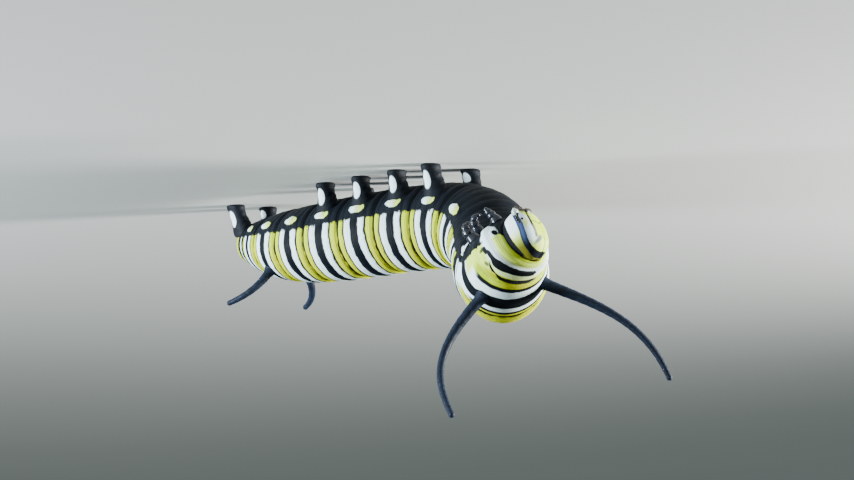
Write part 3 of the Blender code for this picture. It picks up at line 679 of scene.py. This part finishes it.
def head_paint():
    """Glossy horn with black arcs round each side of the face and a pale triangle between them."""
    paint = Paint("banded_horn")
    flutter = (paint.noise(4.0, 3.0, 0.6) - 0.5) * 0.07
    x = paint.reach(head_frame.origin, head_frame.along) + flutter
    sideways = paint.reach(head_frame.origin, head_frame.left)
    y = abs(sideways)
    z = paint.reach(head_frame.origin, head_frame.up)
    high = z.most(0.0)
    low = (-z).most(0.0)
    # white cheeks that turn olive towards the crown, a cream face with a yellow frons
    ragged = z + flutter
    rear = paint.layers(
        WHITE,
        (ragged.rise(-0.4, 0.3), CREAM),
        (ragged.rise(0.0, 0.6), PALE),
        (ragged.rise(0.12, 1.10), OLIVE),
    )
    cheek = blob(x, z, (1.60, -0.38), (0.13, 0.34), flutter * 6.0, 0.95) * y.rise(0.8, 0.95)
    face = paint.layers(
        WHITE,
        ((z - 0.9).rise(-0.2, 0.5), PALE),
        (y.rise(0.90, 0.78), PALE),
        (y.rise(0.62, 0.40) * (z - 0.1).near(0.0, 0.55, 0.25), YELLOW),
        (cheek * 0.8, PALE),
    )
    arc_one = (x - 0.22 - z * 0.04 + (low - 0.6).most(0.0) * 0.09).rise(0.02, -0.02)
    arc_one = arc_one * z.rise(1.60, 1.35)
    below = (-0.4 - z).most(0.0)
    middle = 1.26 - z.rise(-0.3, 1.5) * 0.33 - below * below * 0.22
    half = 0.195 + z.rise(0.0, 0.5) * 0.02 - below * 0.045 + (high - 1.4).most(0.0) * 0.15
    arc_two = (abs(x - middle) / half).rise(1.08, 0.92)
    line_y = 0.88 - low * low * 0.30
    arc_three = (abs(y - line_y) / 0.100).rise(1.25, 0.7) * x.rise(1.0, 1.1) * z.rise(0.95, 0.75)
    arm = (abs(z + 0.16 + y * 0.34 + flutter) / 0.040).rise(1.3, 0.7) * x.rise(1.2, 1.3) * y.rise(0.80, 0.70)
    seam = (y / 0.035).rise(1.4, 0.6) * z.rise(0.80, 0.95)
    patch = blob(y, z - y * 0.5, (0.68, 0.66), (0.36, 0.17), flutter * 8.0, 0.8) * x.rise(1.0, 1.1)
    # painted shade: a slate smudge on the left side of the face only, with a faint slate tint along the
    # upper part of the third arc
    shade_and_line_mark = (patch * sideways.rise(-0.2, 0.5) * 0.9).most(arc_three * z.rise(0.35, 0.75) * 0.3)
    # painted reflection: a soft blue sheen laid on the black arcs around the middle of the face
    painted_reflection = (abs(x - middle - 0.03) / 0.24).rise(1.0, 0.2) * (z + 0.15).near(0.0, 0.85, 0.50)
    mouth = (low - 1.24).rise(0.0, 0.12) * y.rise(0.75, 0.60) * x.rise(0.9, 1.1)
    colour = paint.layers(
        rear,
        (x.rise(1.12, 1.22), face),
        (shade_and_line_mark, SLATE_SHADE_AND_LINE),
        (arc_three * (1.0 - z.rise(-0.25, 0.4) * 0.30), BRONZE),
        (arm * 0.85, FACE_LINE),
        (seam, BLACK),
        (arc_one.most(arc_two), paint.mix(painted_reflection, BLACK, PAINTED_REFLECTION_BLUE)),
        (mouth * 0.9, MOUTH_GREY),
    )
    stain = paint.noise(3.0, 4.0, 0.6, 5.0).rise(0.4, 0.8)
    rough = 0.38 + paint.noise(10.0, 2.0) * 0.16 + arc_one * 0.35
    height = paint.pits(7.0) * 0.6 + paint.noise(12.0, 3.0, 0.6) * 0.4
    return paint.finish(paint.tinge(stain * 0.4, colour, HEAD_STAIN), rough, height, 0.012, 0.10)


def horn_paint(name, dark, light, rough):
    """Hard glossy horn, mottled between two tones."""
    paint = Paint(name)
    mottle = paint.noise(4.0, 4.0, 0.6).rise(0.35, 0.75)
    return paint.finish(
        paint.mix(mottle, dark, light), rough + paint.noise(14.0, 2.0) * 0.12,
        paint.noise(9.0, 4.0, 0.65) * 0.7 + paint.pits(11.0) * 0.4, 0.014, 0.3,
        Coat_Weight=0.06, Coat_Roughness=0.15
    )


# Modelling helpers
def cover(piece, *paints):
    """Give a piece its paints and no others."""
    piece.data.materials.clear()
    for paint in paints:
        piece.data.materials.append(paint)


def deselect():
    if bpy.context.object and bpy.context.object.mode != "OBJECT":
        bpy.ops.object.mode_set(mode="OBJECT")
    bpy.ops.object.select_all(action="DESELECT")


def plain_chart(share, angle):
    """The map of a plain limb: the share of its length, and the way round it."""
    return share, folded(angle)


def rolled_tube(name, rings, sides, shape, chart=plain_chart):
    """A flat grid rolled into a closed tube: shape gives its points, chart the two numbers of its map."""
    deselect()
    bpy.ops.mesh.primitive_grid_add(x_subdivisions=rings, y_subdivisions=sides, size=1.0)
    piece = bpy.context.object
    piece.name = name
    mesh = piece.data
    flat = np.empty(len(mesh.vertices) * 3)
    mesh.vertices.foreach_get("co", flat)
    flat = flat.reshape(-1, 3)
    share = np.clip(flat[:, 0] + 0.5, 0.0, 1.0)
    angle = math.pi + 2.0 * math.pi * np.clip(flat[:, 1] + 0.5, 0.0, 1.0)
    points = shape(share, angle) * MM
    mesh.vertices.foreach_set("co", points.astype(np.float64).ravel())
    values = np.stack(chart(share, angle), -1)
    corner = np.empty(len(mesh.loops), dtype=np.int64)
    mesh.loops.foreach_get("vertex_index", corner)
    layer = mesh.uv_layers[0] if mesh.uv_layers else mesh.uv_layers.new(name="Bands")
    layer.name = "Bands"
    layer.data.foreach_set("uv", values[corner].astype(np.float32).ravel())
    mesh.update()
    close_up(piece)
    return piece


def close_up(piece):
    """Merge the seam and the poles and turn every face outwards."""
    deselect()
    bpy.context.view_layer.objects.active = piece
    piece.select_set(True)
    bpy.ops.object.mode_set(mode="EDIT")
    bpy.ops.mesh.select_mode(type="VERT")
    bpy.ops.mesh.select_all(action="DESELECT")
    bpy.ops.mesh.select_non_manifold(extend=False)
    bpy.ops.mesh.remove_doubles(threshold=MERGE_GAP * MM)
    bpy.ops.mesh.select_all(action="SELECT")
    bpy.ops.mesh.normals_make_consistent(inside=False)
    bpy.ops.object.mode_set(mode="OBJECT")
    bpy.ops.object.shade_smooth()


def folded(angle):
    """The share of the way round from the back line to the belly line, 0 to 1, alike on both sides."""
    turn = np.mod(angle, 2.0 * math.pi)
    return np.minimum(turn, 2.0 * math.pi - turn) / math.pi


def centreline(curve, count=240):
    """Points, reach, headings and a steady sideways direction along a curve from 0 to 1."""
    t = np.linspace(0.0, 1.0, count)
    points = curve(t)
    steps = np.linalg.norm(np.diff(points, axis=0), axis=1)
    reach = np.concatenate([[0.0], np.cumsum(steps)])
    heading = unit(np.gradient(points, axis=0))
    lead = np.zeros_like(points)
    lead[0] = unit(np.cross(heading[0], SIDE_HINT))
    for i in range(1, count):
        carried = lead[i - 1] - heading[i] * np.dot(lead[i - 1], heading[i])
        lead[i] = unit(carried)
    return points, reach, heading, lead


def limb_shape(line, radius):
    """Shape function of a round limb along a centreline, with its radius given by reach."""
    points, reach, heading, lead = line

    def shape(share, angle):
        d = share * reach[-1]
        way = unit(pick(d, reach, heading))
        side = pick(d, reach, lead)
        side = unit(side - way * np.sum(side * way, -1, keepdims=True))
        across = np.cross(way, side)
        r = radius(d)[:, None]
        ring = side * (np.cos(angle)[:, None] * r) + across * (np.sin(angle)[:, None] * r)
        return pick(d, reach, points) + ring

    return shape


def rooted(body, skin, out, sunk, share):
    """A curve that starts sunk in the skin and spends a share of its run there before it follows body."""

    def curve(t):
        t = np.asarray(t)
        inside = t < share
        way = body(way_from(share, 1.0, t))
        way[inside] = skin - out * (sunk * (1.0 - t[inside] / share))[:, None]
        return way

    return curve


def cubic(root, bend_a, bend_b, tip):
    """A curve from root to tip that the two bends pull on."""
    root, bend_a, bend_b, tip = (np.asarray(v, float) for v in (root, bend_a, bend_b, tip))

    def curve(t):
        t = np.asarray(t)[:, None]
        u = 1.0 - t
        return root * u**3 + bend_a * (3 * u * u * t) + bend_b * (3 * u * t * t) + tip * t**3

    return curve


def rounded_end(d, length, radius):
    """Closes a limb with a round tip over the last radius of its length."""
    left = np.clip((length - d) / radius, 0.0, 1.0)
    return np.sqrt(np.clip(1.0 - (1.0 - left) ** 2, 0.0, 1.0))


# Skin
def skin_relief(count, angle):
    """How far the skin stands out from the plain oval, from its folds, lobes and plates."""
    degrees = folded(angle) * 180.0
    part = count - np.floor(count)
    fold = np.minimum(part, 1.0 - part)
    lift = -FOLD_DEPTH * bump_at(fold, 0.0, FOLD_SPREAD)
    for place, height, spread in CREASES:
        lift = lift + height * bump_at(part, place, spread)
    body_lobe = 0.16 * bump_at(degrees, 121.0, 9.0) * bump_at(part, 0.5, 0.30)
    lift = lift + body_lobe * (count < 10.0) * (count > 1.0)
    for number, (place, at, height, along, around) in SIDE_LOBES.items():
        length = SEGMENTS[number][1]
        lift = lift + height * bump_at(count, number + place, along / length) * bump_at(degrees, at, around)
    # the curved fold between the first two segments and a soft roll behind the bar
    bend = (degrees / 64.0) ** 2
    line = count - 12.02 - 0.16 * bend
    lift = lift - 0.10 * bump_at(line, 0.0, 0.045) * (1.0 - ease(degrees, 66.0, 84.0))
    lift = lift + 0.05 * bump_at(count, 12.45, 0.10) - 0.04 * bump_at(count, 12.60, 0.04)
    lift = lift + 0.30 * bump_at(count, 10.84, 0.13) * bump_at(degrees, 0.0, 46.0)
    return lift * ease(count, 0.05, 0.6)


def skin_shape(share, angle):
    """The body from the tail's pole to the collar, which rolls in to the head and closes behind it."""
    run = way_from(TAIL_SHARE, SHOULDER_SHARE, share)
    s = run * shoulder_s
    back = np.clip(s / 1.5, 0.0, 1.0)
    scale = np.sqrt(np.clip(1.0 - (1.0 - back) ** 2.2, 0.0, 1.0)) * 0.97 + 0.03 * ease(s, 0.0, 2.4)
    points = larva.surface(s, angle, skin_relief(larva.count(s), angle), scale)
    points[share < TAIL_SHARE] = larva.surface(np.zeros(1), np.zeros(1), 0.0, 0.0)[0]
    # the shoulder bends from the last plain ring, over a guide ring, to the rear of the head
    rolled = share > SHOULDER_SHARE
    turn = angle[rolled]
    t = way_from(SHOULDER_SHARE, LIP_SHARE, share[rolled])[:, None]
    first = larva.surface(shoulder_s, turn)
    guide = larva.surface(larva.place("thorax_1", GUIDE_PLACE), turn, 0.0, GUIDE_SCALE)
    last = on_capsule(lip_depth(turn), turn)
    shoulder = first * (1.0 - t) ** 2 + guide * (2.0 * t * (1.0 - t)) + last * t**2
    count = SHOULDER_COUNT + (LIP_COUNT - SHOULDER_COUNT) * t[:, 0]
    out = larva.outward(np.full_like(turn, shoulder_s), turn)
    shoulder = shoulder + out * (skin_relief(count, turn) * (1.0 - t[:, 0]) ** 0.5)[:, None]
    points[rolled] = shoulder
    # inside the lip the skin runs back along the capsule and closes behind it
    tucked = share > LIP_SHARE
    t = way_from(LIP_SHARE, CLOSE_SHARE, share[tucked])
    lip = lip_depth(angle[tucked])
    points[tucked] = on_capsule(lip + (HEAD_REAR - 0.03 - lip) * t, angle[tucked])
    hidden = share > CLOSE_SHARE
    t = way_from(CLOSE_SHARE, 1.0, share[hidden])
    points[hidden] = on_capsule(np.full_like(t, HEAD_REAR - 0.03), angle[hidden], 1.0 - t)
    return points


def crown_swell(x, z):
    """How far the two lobes of the crown rise above the plain capsule towards its rear."""
    return CROWN_SWELL * ease(z, 0.9, 1.7) * bump_at(x, 0.45, 0.45)


def lip_depth(angle):
    """How far forward on the head the collar's lip lies, where its slanting plane cuts the capsule."""
    middle, along, _, _ = larva.axes(larva.place("thorax_1", LIP_PLACE))
    low = np.full_like(angle, HEAD_REAR + 0.02)
    high = np.full_like(angle, 0.7)
    for _ in range(24):
        half = (low + high) / 2
        behind = (on_capsule(half, angle) - middle) @ along < 0.0
        low = np.where(behind, half, low)
        high = np.where(behind, high, half)
    return low


def on_capsule(depth, angle, share=1.0):
    """Points just clear of the head capsule at a depth, or a share of the way out to it."""
    scale = head_scale(np.maximum(depth, HEAD_REAR))
    wide = (HEAD_HALF_WIDTH * scale + LIP_CLEAR) * share
    high = (HEAD_HALF_HEIGHT * scale + LIP_CLEAR) * share
    upward = np.cos(angle) * high
    return head_frame.point(depth, np.sin(angle) * wide, upward + crown_swell(depth, upward))


def skin_chart(share, angle):
    """The skin's map: segments passed since the tail, and the way round from the back line."""
    run = way_from(TAIL_SHARE, SHOULDER_SHARE, share)
    count = larva.count(run * shoulder_s)
    t = way_from(SHOULDER_SHARE, LIP_SHARE, share)
    return count + (LIP_COUNT - SHOULDER_COUNT) * t, folded(angle)


def build_tentacle(name, root_s, degrees, bend_a, bend_b, tip, radii, flare):
    """A soft tentacle that grows out of the skin with a flared foot."""
    angle = math.radians(degrees)
    skin = larva.surface(root_s, angle)
    body = cubic(skin, skin + bend_a, skin + bend_b, skin + tip)
    line = centreline(rooted(body, skin, larva.outward(root_s, angle), TENTACLE_SUNK, 0.05))
    length = line[1][-1]
    shares = np.linspace(0.0, 1.0, len(radii))

    def radius(d):
        beyond = np.clip(d - TENTACLE_SUNK, 0.0, None)
        r = np.interp(beyond / (length - TENTACLE_SUNK), shares, radii)
        r = r + flare * np.exp(-beyond / 0.20) * (d > 0.0)
        r = r * (1.0 + 0.02 * np.sin(beyond * 9.0) + 0.012 * np.sin(beyond * 23.0 + 1.3))
        return r * rounded_end(d, length, radii[-1]) * np.clip(d / 0.02, 0.0, 1.0)

    return rolled_tube(name, *TENTACLE_GRID, limb_shape(line, radius))


def build_proleg(name, segment, part, degrees, root, sole, spread, back, hand):
    """A fleshy stub with a waist and a flared, flat sole on the floor."""
    s = larva.place(segment, part)
    middle, along, _, _ = larva.axes(s)
    flat_along = unit(np.array([along[0], along[1], 0.0]))
    flat_left = np.array([-flat_along[1], flat_along[0], 0.0])
    wide, high = larva.half_sizes(s)
    turn = root[1] / ((wide + high) / 2)
    centre = np.array([middle[0], middle[1], 0.0]) + flat_left * (spread * hand) + flat_along * back
    at = math.radians(degrees) * hand
    levels = (0.0, 0.12, 0.40, 0.70, 0.90, 0.97, 1.0)
    swells = (1.15, 1.00, 0.74, 0.86, 1.05, 1.04, 0.95)

    def shape(share, angle):
        down = way_from(0.10, 0.90, share)
        lift = np.where(share < 0.10, -0.7 * (1.0 - share / 0.10), 0.0)
        open_up = np.where(share < 0.02, 0.0, 1.0)
        swell = np.interp(down, levels, swells)
        sole_share = np.where(share > 0.90, np.clip((1.0 - share) / 0.10, 0.0, 1.0), 1.0)
        ring_s = s + root[0] * np.cos(angle) * open_up
        ring_a = at + turn * np.sin(angle) * open_up
        foot = larva.surface(ring_s, ring_a, lift)
        flat = centre + (flat_along * (sole[0] * np.cos(angle) * swell * sole_share)[:, None]
                         - flat_left * (sole[1] * np.sin(angle) * swell * sole_share)[:, None])
        pleat = 0.03 * np.sin(down * 22.0) * np.sin(down * math.pi)
        mixed = foot + (flat - foot) * down[:, None]
        axis = foot.mean(0) + (centre - foot.mean(0)) * down[:, None]
        mixed = axis + (mixed - axis) * (1.0 + pleat)[:, None]
        mixed[share > 0.899] = flat[share > 0.899]
        return mixed

    return rolled_tube(name, *PROLEG_GRID, shape)


def join_skin(body, limbs):
    """One union of the body with all that grows from it."""
    group = bpy.data.collections.new("limbs_of_skin")
    bpy.context.scene.collection.children.link(group)
    for limb in limbs:
        for owner in list(limb.users_collection):
            owner.objects.unlink(limb)
        group.objects.link(limb)
    deselect()
    bpy.context.view_layer.objects.active = body
    body.select_set(True)
    join = body.modifiers.new("join", "BOOLEAN")
    join.operation = "UNION"
    join.solver = "MANIFOLD"
    join.operand_type = "COLLECTION"
    join.collection = group
    bpy.ops.object.modifier_apply(modifier="join")
    for limb in limbs:
        bpy.data.objects.remove(limb, do_unlink=True)
    bpy.data.collections.remove(group)
    bpy.ops.object.shade_smooth()


def build_skin():
    """The whole soft body in one piece, with a paint each for its body, tentacles and prolegs."""
    body = rolled_tube("skin", *SKIN_GRID, skin_shape, skin_chart)
    paints = [skin_paint(), tentacle_paint(), proleg_paint()]
    limbs = []
    s = larva.place("thorax_2", 0.45)
    for side, (degrees, bend_a, bend_b, tip) in FRONT_TENTACLES.items():
        limbs.append((1, build_tentacle("front_" + side, s, degrees, bend_a, bend_b, tip,
                                        FRONT_RADII, FOOT_FLARES[0])))
    s = larva.place("abdomen_8", 0.45)
    for side, hand in SIDES:
        angle = math.radians(REAR_ANGLE) * hand
        along = larva.axes(s)[1]
        out = larva.outward(s, angle)
        bend_a, bend_b, aim = (out * wide + along * ahead for wide, ahead in REAR_WAYS)
        limbs.append((1, build_tentacle("rear_" + side, s, REAR_ANGLE * hand, bend_a, bend_b,
                                        unit(aim) * REAR_LENGTH, REAR_RADII, FOOT_FLARES[1])))
    for side, hand in SIDES:
        for number in (3, 4, 5, 6):
            limbs.append((2, build_proleg("proleg", "abdomen_" + str(number), 0.5, PROLEG_ANGLE, PROLEG_ROOT,
                                          PROLEG_SOLE, PROLEG_SPREAD, 0.0, hand)))
        limbs.append((2, build_proleg("anal", "abdomen_10", 0.46, ANAL_ANGLE, ANAL_ROOT, ANAL_SOLE,
                                      ANAL_SPREAD, ANAL_BACK, hand)))
    for piece, slot in [(body, 0)] + [(limb, slot) for slot, limb in limbs]:
        cover(piece, *paints)
        piece.data.polygons.foreach_set("material_index", [slot] * len(piece.data.polygons))
    join_skin(body, [limb for _, limb in limbs])
    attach(body, "root")
    soft_parts = ("abdomen", "thorax", "proleg", "anal", "front_", "rear_")
    soft = [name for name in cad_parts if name.startswith(soft_parts)]
    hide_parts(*soft)
    return body


# Head
def build_head():
    """The capsule: two lobes beside a groove along the crown, and a sunken triangle between the arms."""
    start = -math.asin((HEAD_WIDEST - HEAD_REAR) / HEAD_REAR_BULGE)
    closed = 0.06

    def shape(share, angle):
        t = way_from(closed, 1.0, share)
        tilt = start + (math.pi / 2 - start) * t
        x = HEAD_WIDEST + np.where(tilt < 0.0, HEAD_REAR_BULGE, HEAD_BULGE) * np.sin(tilt)
        scale = np.where(share < closed, math.cos(start) * share / closed, np.cos(tilt))
        y = np.sin(angle) * HEAD_HALF_WIDTH * scale
        z = np.cos(angle) * HEAD_HALF_HEIGHT * scale
        side = np.abs(y)
        groove = bump_at(y, 0.0, 0.07) * ease(z, 0.30, 0.62) * ease(x, -0.2, 0.1)
        notch = bump_at(folded(angle) * math.pi, 0.0, 0.22) * ease(z, 0.8, 1.6)
        shrink = 1.0 - 0.030 * groove - 0.045 * notch
        x = np.where(x > HEAD_WIDEST, HEAD_WIDEST + (x - HEAD_WIDEST) * shrink, x)
        front = ease(x, 1.3, 1.8)
        sunken = 0.10 * bump_at(y, 0.0, 0.42) * ease(z, -0.45, 0.05) * (1.0 - ease(z, 0.75, 1.15))
        arm = 0.025 * bump_at(z + 0.16 + side * 0.34, 0.0, 0.05) * (1.0 - ease(side, 0.7, 0.85))
        edge_at = 0.88 - 0.37 * np.minimum(z, 0.0) ** 2
        edge = 0.018 * bump_at(side, edge_at, 0.05) * (1.0 - ease(z, 0.75, 0.95))
        lobe = 0.05 * bump_at(side, 0.50, 0.30) * bump_at(z, 1.15, 0.35)
        z = z + crown_swell(x, z)
        depth = x - front * (sunken + arm + edge) + lobe * ease(x, 0.9, 1.3)
        return head_frame.point(depth, y * shrink, z * shrink)

    piece = rolled_tube("head_capsule", *HEAD_GRID, shape)
    cover(piece, head_paint())
    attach(piece, "root")
    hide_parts("head")
    return piece


def oval(name, centre, axes, radii, rings=20, sides=28, pinch=None):
    """A smooth oval lump with its pole along the first axis."""
    centre = np.asarray(centre, float)

    def shape(share, angle):
        tilt = math.pi * share
        ring = np.sin(tilt)
        first = -np.cos(tilt) * radii[0]
        second = np.cos(angle) * ring * radii[1]
        third = np.sin(angle) * ring * radii[2]
        if pinch:
            first, second, third = pinch(first, second, third)
        return centre + axes[0] * first[:, None] + axes[1] * second[:, None] + axes[2] * third[:, None]

    return rolled_tube(name, rings, sides, shape)


def tapered(name, root, tip, widths, rings=30, sides=20):
    """A straight jointed feeler from root to tip, with its widths along it."""
    root = np.asarray(root, float)
    tip = np.asarray(tip, float)
    line = centreline(lambda t: root + (tip - root) * np.asarray(t)[:, None], 60)
    length = line[1][-1]
    shares, sizes = zip(*widths)

    def radius(d):
        return np.interp(d / length, shares, sizes)

    return rolled_tube(name, rings, sides, limb_shape(line, radius))


def merge(name, pieces):
    """Join loose pieces of one thing into one object."""
    deselect()
    for piece in pieces:
        piece.select_set(True)
    bpy.context.view_layer.objects.active = pieces[0]
    bpy.ops.object.join()
    pieces[0].name = name
    return pieces[0]


def build_face():
    """Upper lip, jaws, lower lip with its feelers and silk spout, antennae and the simple eyes."""
    h = head_frame
    axes = (h.left, h.along, h.up)
    dark = horn_paint("mouth_horn", (0.020, 0.017, 0.014), (0.075, 0.055, 0.035), 0.22)
    pale = horn_paint("lip_horn", (0.42, 0.52, 0.50), (0.58, 0.70, 0.72), 0.28)

    def notched(first, second, third):
        return first, second, third + 0.10 * np.exp(-((first / 0.10) ** 2)) * (third < 0.0)

    lip = oval("upper_lip", h.face_point(0.0, -1.34, 0.02), axes, (0.44, 0.17, 0.24), pinch=notched)
    lumps = [oval("lower_lip", h.point(0.92, 0.0, -1.56), axes, (0.32, 0.30, 0.28))]
    feelers = []
    for hand in (1.0, -1.0):
        def bitten(first, second, third):
            return first, second, third + 0.02 * np.sin(second * 40.0) * (third < -0.15)

        lumps.append(oval("jaw", h.point(1.22, 0.28 * hand, -1.50), axes, (0.27, 0.28, 0.34), pinch=bitten))
        lumps.append(oval("maxilla", h.point(0.98, 0.44 * hand, -1.54), axes, (0.22, 0.24, 0.32)))
        palp_tip = h.point(1.20, 0.42 * hand, -2.06)
        feelers.append(tapered("palp", h.point(1.02, 0.44 * hand, -1.66), palp_tip, PALP_WIDTHS))
    feelers.append(tapered("spout", h.point(0.96, 0.0, -1.66), h.point(1.12, 0.0, -2.08), SPOUT_WIDTHS))
    mouth = merge("mouthparts", [lip] + lumps + feelers)
    cover(mouth, dark)
    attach(mouth, "root")
    for side, hand in SIDES:
        root = h.face_point(ANTENNA_ROOT[0] * hand, ANTENNA_ROOT[1], -0.05)
        out = unit(h.along * ANTENNA_AIM[0] + h.left * (ANTENNA_AIM[1] * hand) - h.up * ANTENNA_AIM[2])
        tip = root + out * ANTENNA_LENGTH
        antenna = tapered("antenna_piece_" + side, root, tip, ANTENNA_WIDTHS, *ANTENNA_GRID)
        cover(antenna, pale)
        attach(antenna, "root")
        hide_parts("antenna_" + side)
    beads = []
    for hand in (1.0, -1.0):
        for y, z in EYES:
            middle = h.face_point(y * hand, z, -0.02)
            beads.append(oval("eye", middle, (h.along, h.left, h.up), (EYE_RADIUS,) * 3, *EYE_GRID))
    eyes = merge("simple_eyes", beads)
    cover(eyes, horn_paint("eye_glass", (0.004, 0.004, 0.006), (0.02, 0.014, 0.010), 0.06))
    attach(eyes, "root")


# Legs
def build_legs():
    """Six jointed legs of glossy horn, each splayed and curled inwards to a claw."""
    horn = horn_paint("leg_horn", (0.008, 0.010, 0.016), (0.020, 0.026, 0.042), 0.16)
    for leg, (segment, part, degrees, size, bend, tip) in LEGS.items():
        s = larva.place(segment, part)
        _, along, left, up = larva.axes(s)
        for side, hand in SIDES:
            at = math.radians(degrees) * hand
            skin = larva.surface(s, at)
            out = larva.outward(s, at)
            bend_point, tip_point = (
                skin + (left * (sideways * hand) - up * down + along * forward) * size
                for sideways, down, forward in (bend, tip)
            )
            start = skin + (out * LEG_START[0] + along * LEG_START[1]) * size
            body = cubic(skin, start, bend_point, tip_point)
            line = centreline(rooted(body, skin, out, LEG_SUNK, 0.04))
            length = line[1][-1]

            def radius(d):
                beyond = np.clip(d / length, 0.0, 1.0) * LEG_REACH
                r = np.interp(beyond, *zip(*LEG_PROFILE)) * size
                return r * np.clip(d / 0.01, 0.0, 1.0) * (d < length - 1e-6)

            piece = rolled_tube(leg + "_" + side + "_piece", *LEG_GRID, limb_shape(line, radius))
            cover(piece, horn)
            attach(piece, "root")
            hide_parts(leg + "_" + side)


# Stage
def build_stage():
    """A pale floor, soft lamps and the camera at the photographed angle."""
    deselect()
    bpy.ops.mesh.primitive_plane_add(size=FLOOR_SIZE, location=(0.0, 0.0, 0.0))
    floor = bpy.context.object
    floor.name = "floor"
    paint = Paint("floor_paint")
    tone = paint.mix(paint.noise(0.02, 2.0), (0.70, 0.72, 0.70), (0.74, 0.76, 0.74))
    paint.set(Base_Color=tone, Roughness=0.6)
    cover(floor, paint.material)
    world = bpy.data.worlds.new("studio")
    world.use_nodes = True
    air = world.node_tree.nodes["Background"].inputs
    air["Color"].default_value = (*STUDIO_AIR, 1.0)
    air["Strength"].default_value = STUDIO_STRENGTH
    bpy.context.scene.world = world
    back, right, down = view_axes()
    aim = pick(larva.place("thorax_2", 0.5), larva.s, larva.point)
    for name, across, below, near, size, power, tint in LAMPS:
        lamp = bpy.data.lights.new(name, "AREA")
        lamp.shape = "DISK"
        lamp.size = size * MM
        lamp.energy = power
        lamp.color = tint
        holder = bpy.data.objects.new(name, lamp)
        spot = aim + right * across + down * below + back * near
        spot[2] = max(spot[2], LAMP_HEIGHT)
        holder.location = Vector(spot * MM)
        holder.rotation_euler = Vector((aim - spot)).to_track_quat("-Z", "Y").to_euler()
        bpy.context.scene.collection.objects.link(holder)
    lens = bpy.data.cameras.new("camera")
    lens.sensor_width = SENSOR
    lens.lens = VIEW_DISTANCE / PIXEL / PICTURE[0] * SENSOR
    lens.clip_start, lens.clip_end = SIGHT
    camera = bpy.data.objects.new("camera", lens)
    off = (PICTURE[0] / 2 - AIM_PIXEL[0], PICTURE[1] / 2 - AIM_PIXEL[1])
    spot = aim + back * VIEW_DISTANCE + right * (off[0] * PIXEL) + down * (off[1] * PIXEL)
    turn = Matrix((right, -down, back)).transposed().to_4x4()
    turn.translation = Vector(spot * MM)
    camera.matrix_world = turn
    bpy.context.scene.collection.objects.link(camera)
    bpy.context.scene.camera = camera


def view_axes():
    """Towards the eye, and the picture's right and down, with the larva's up pointing down in it."""
    bearing = math.radians(VIEW_BEARING)
    height = math.radians(VIEW_HEIGHT)
    lean = math.radians(VIEW_LEAN)
    level = math.cos(height)
    back = np.array([math.cos(bearing) * level, math.sin(bearing) * level, math.sin(height)])
    right = unit(np.cross(-back, [0.0, 0.0, 1.0]))
    up = np.cross(right, -back)
    picture_right = -math.cos(lean) * right + math.sin(lean) * up
    picture_down = math.cos(lean) * up + math.sin(lean) * right
    return back, picture_right, picture_down


build_stage()
build_skin()
build_head()
build_face()
build_legs()
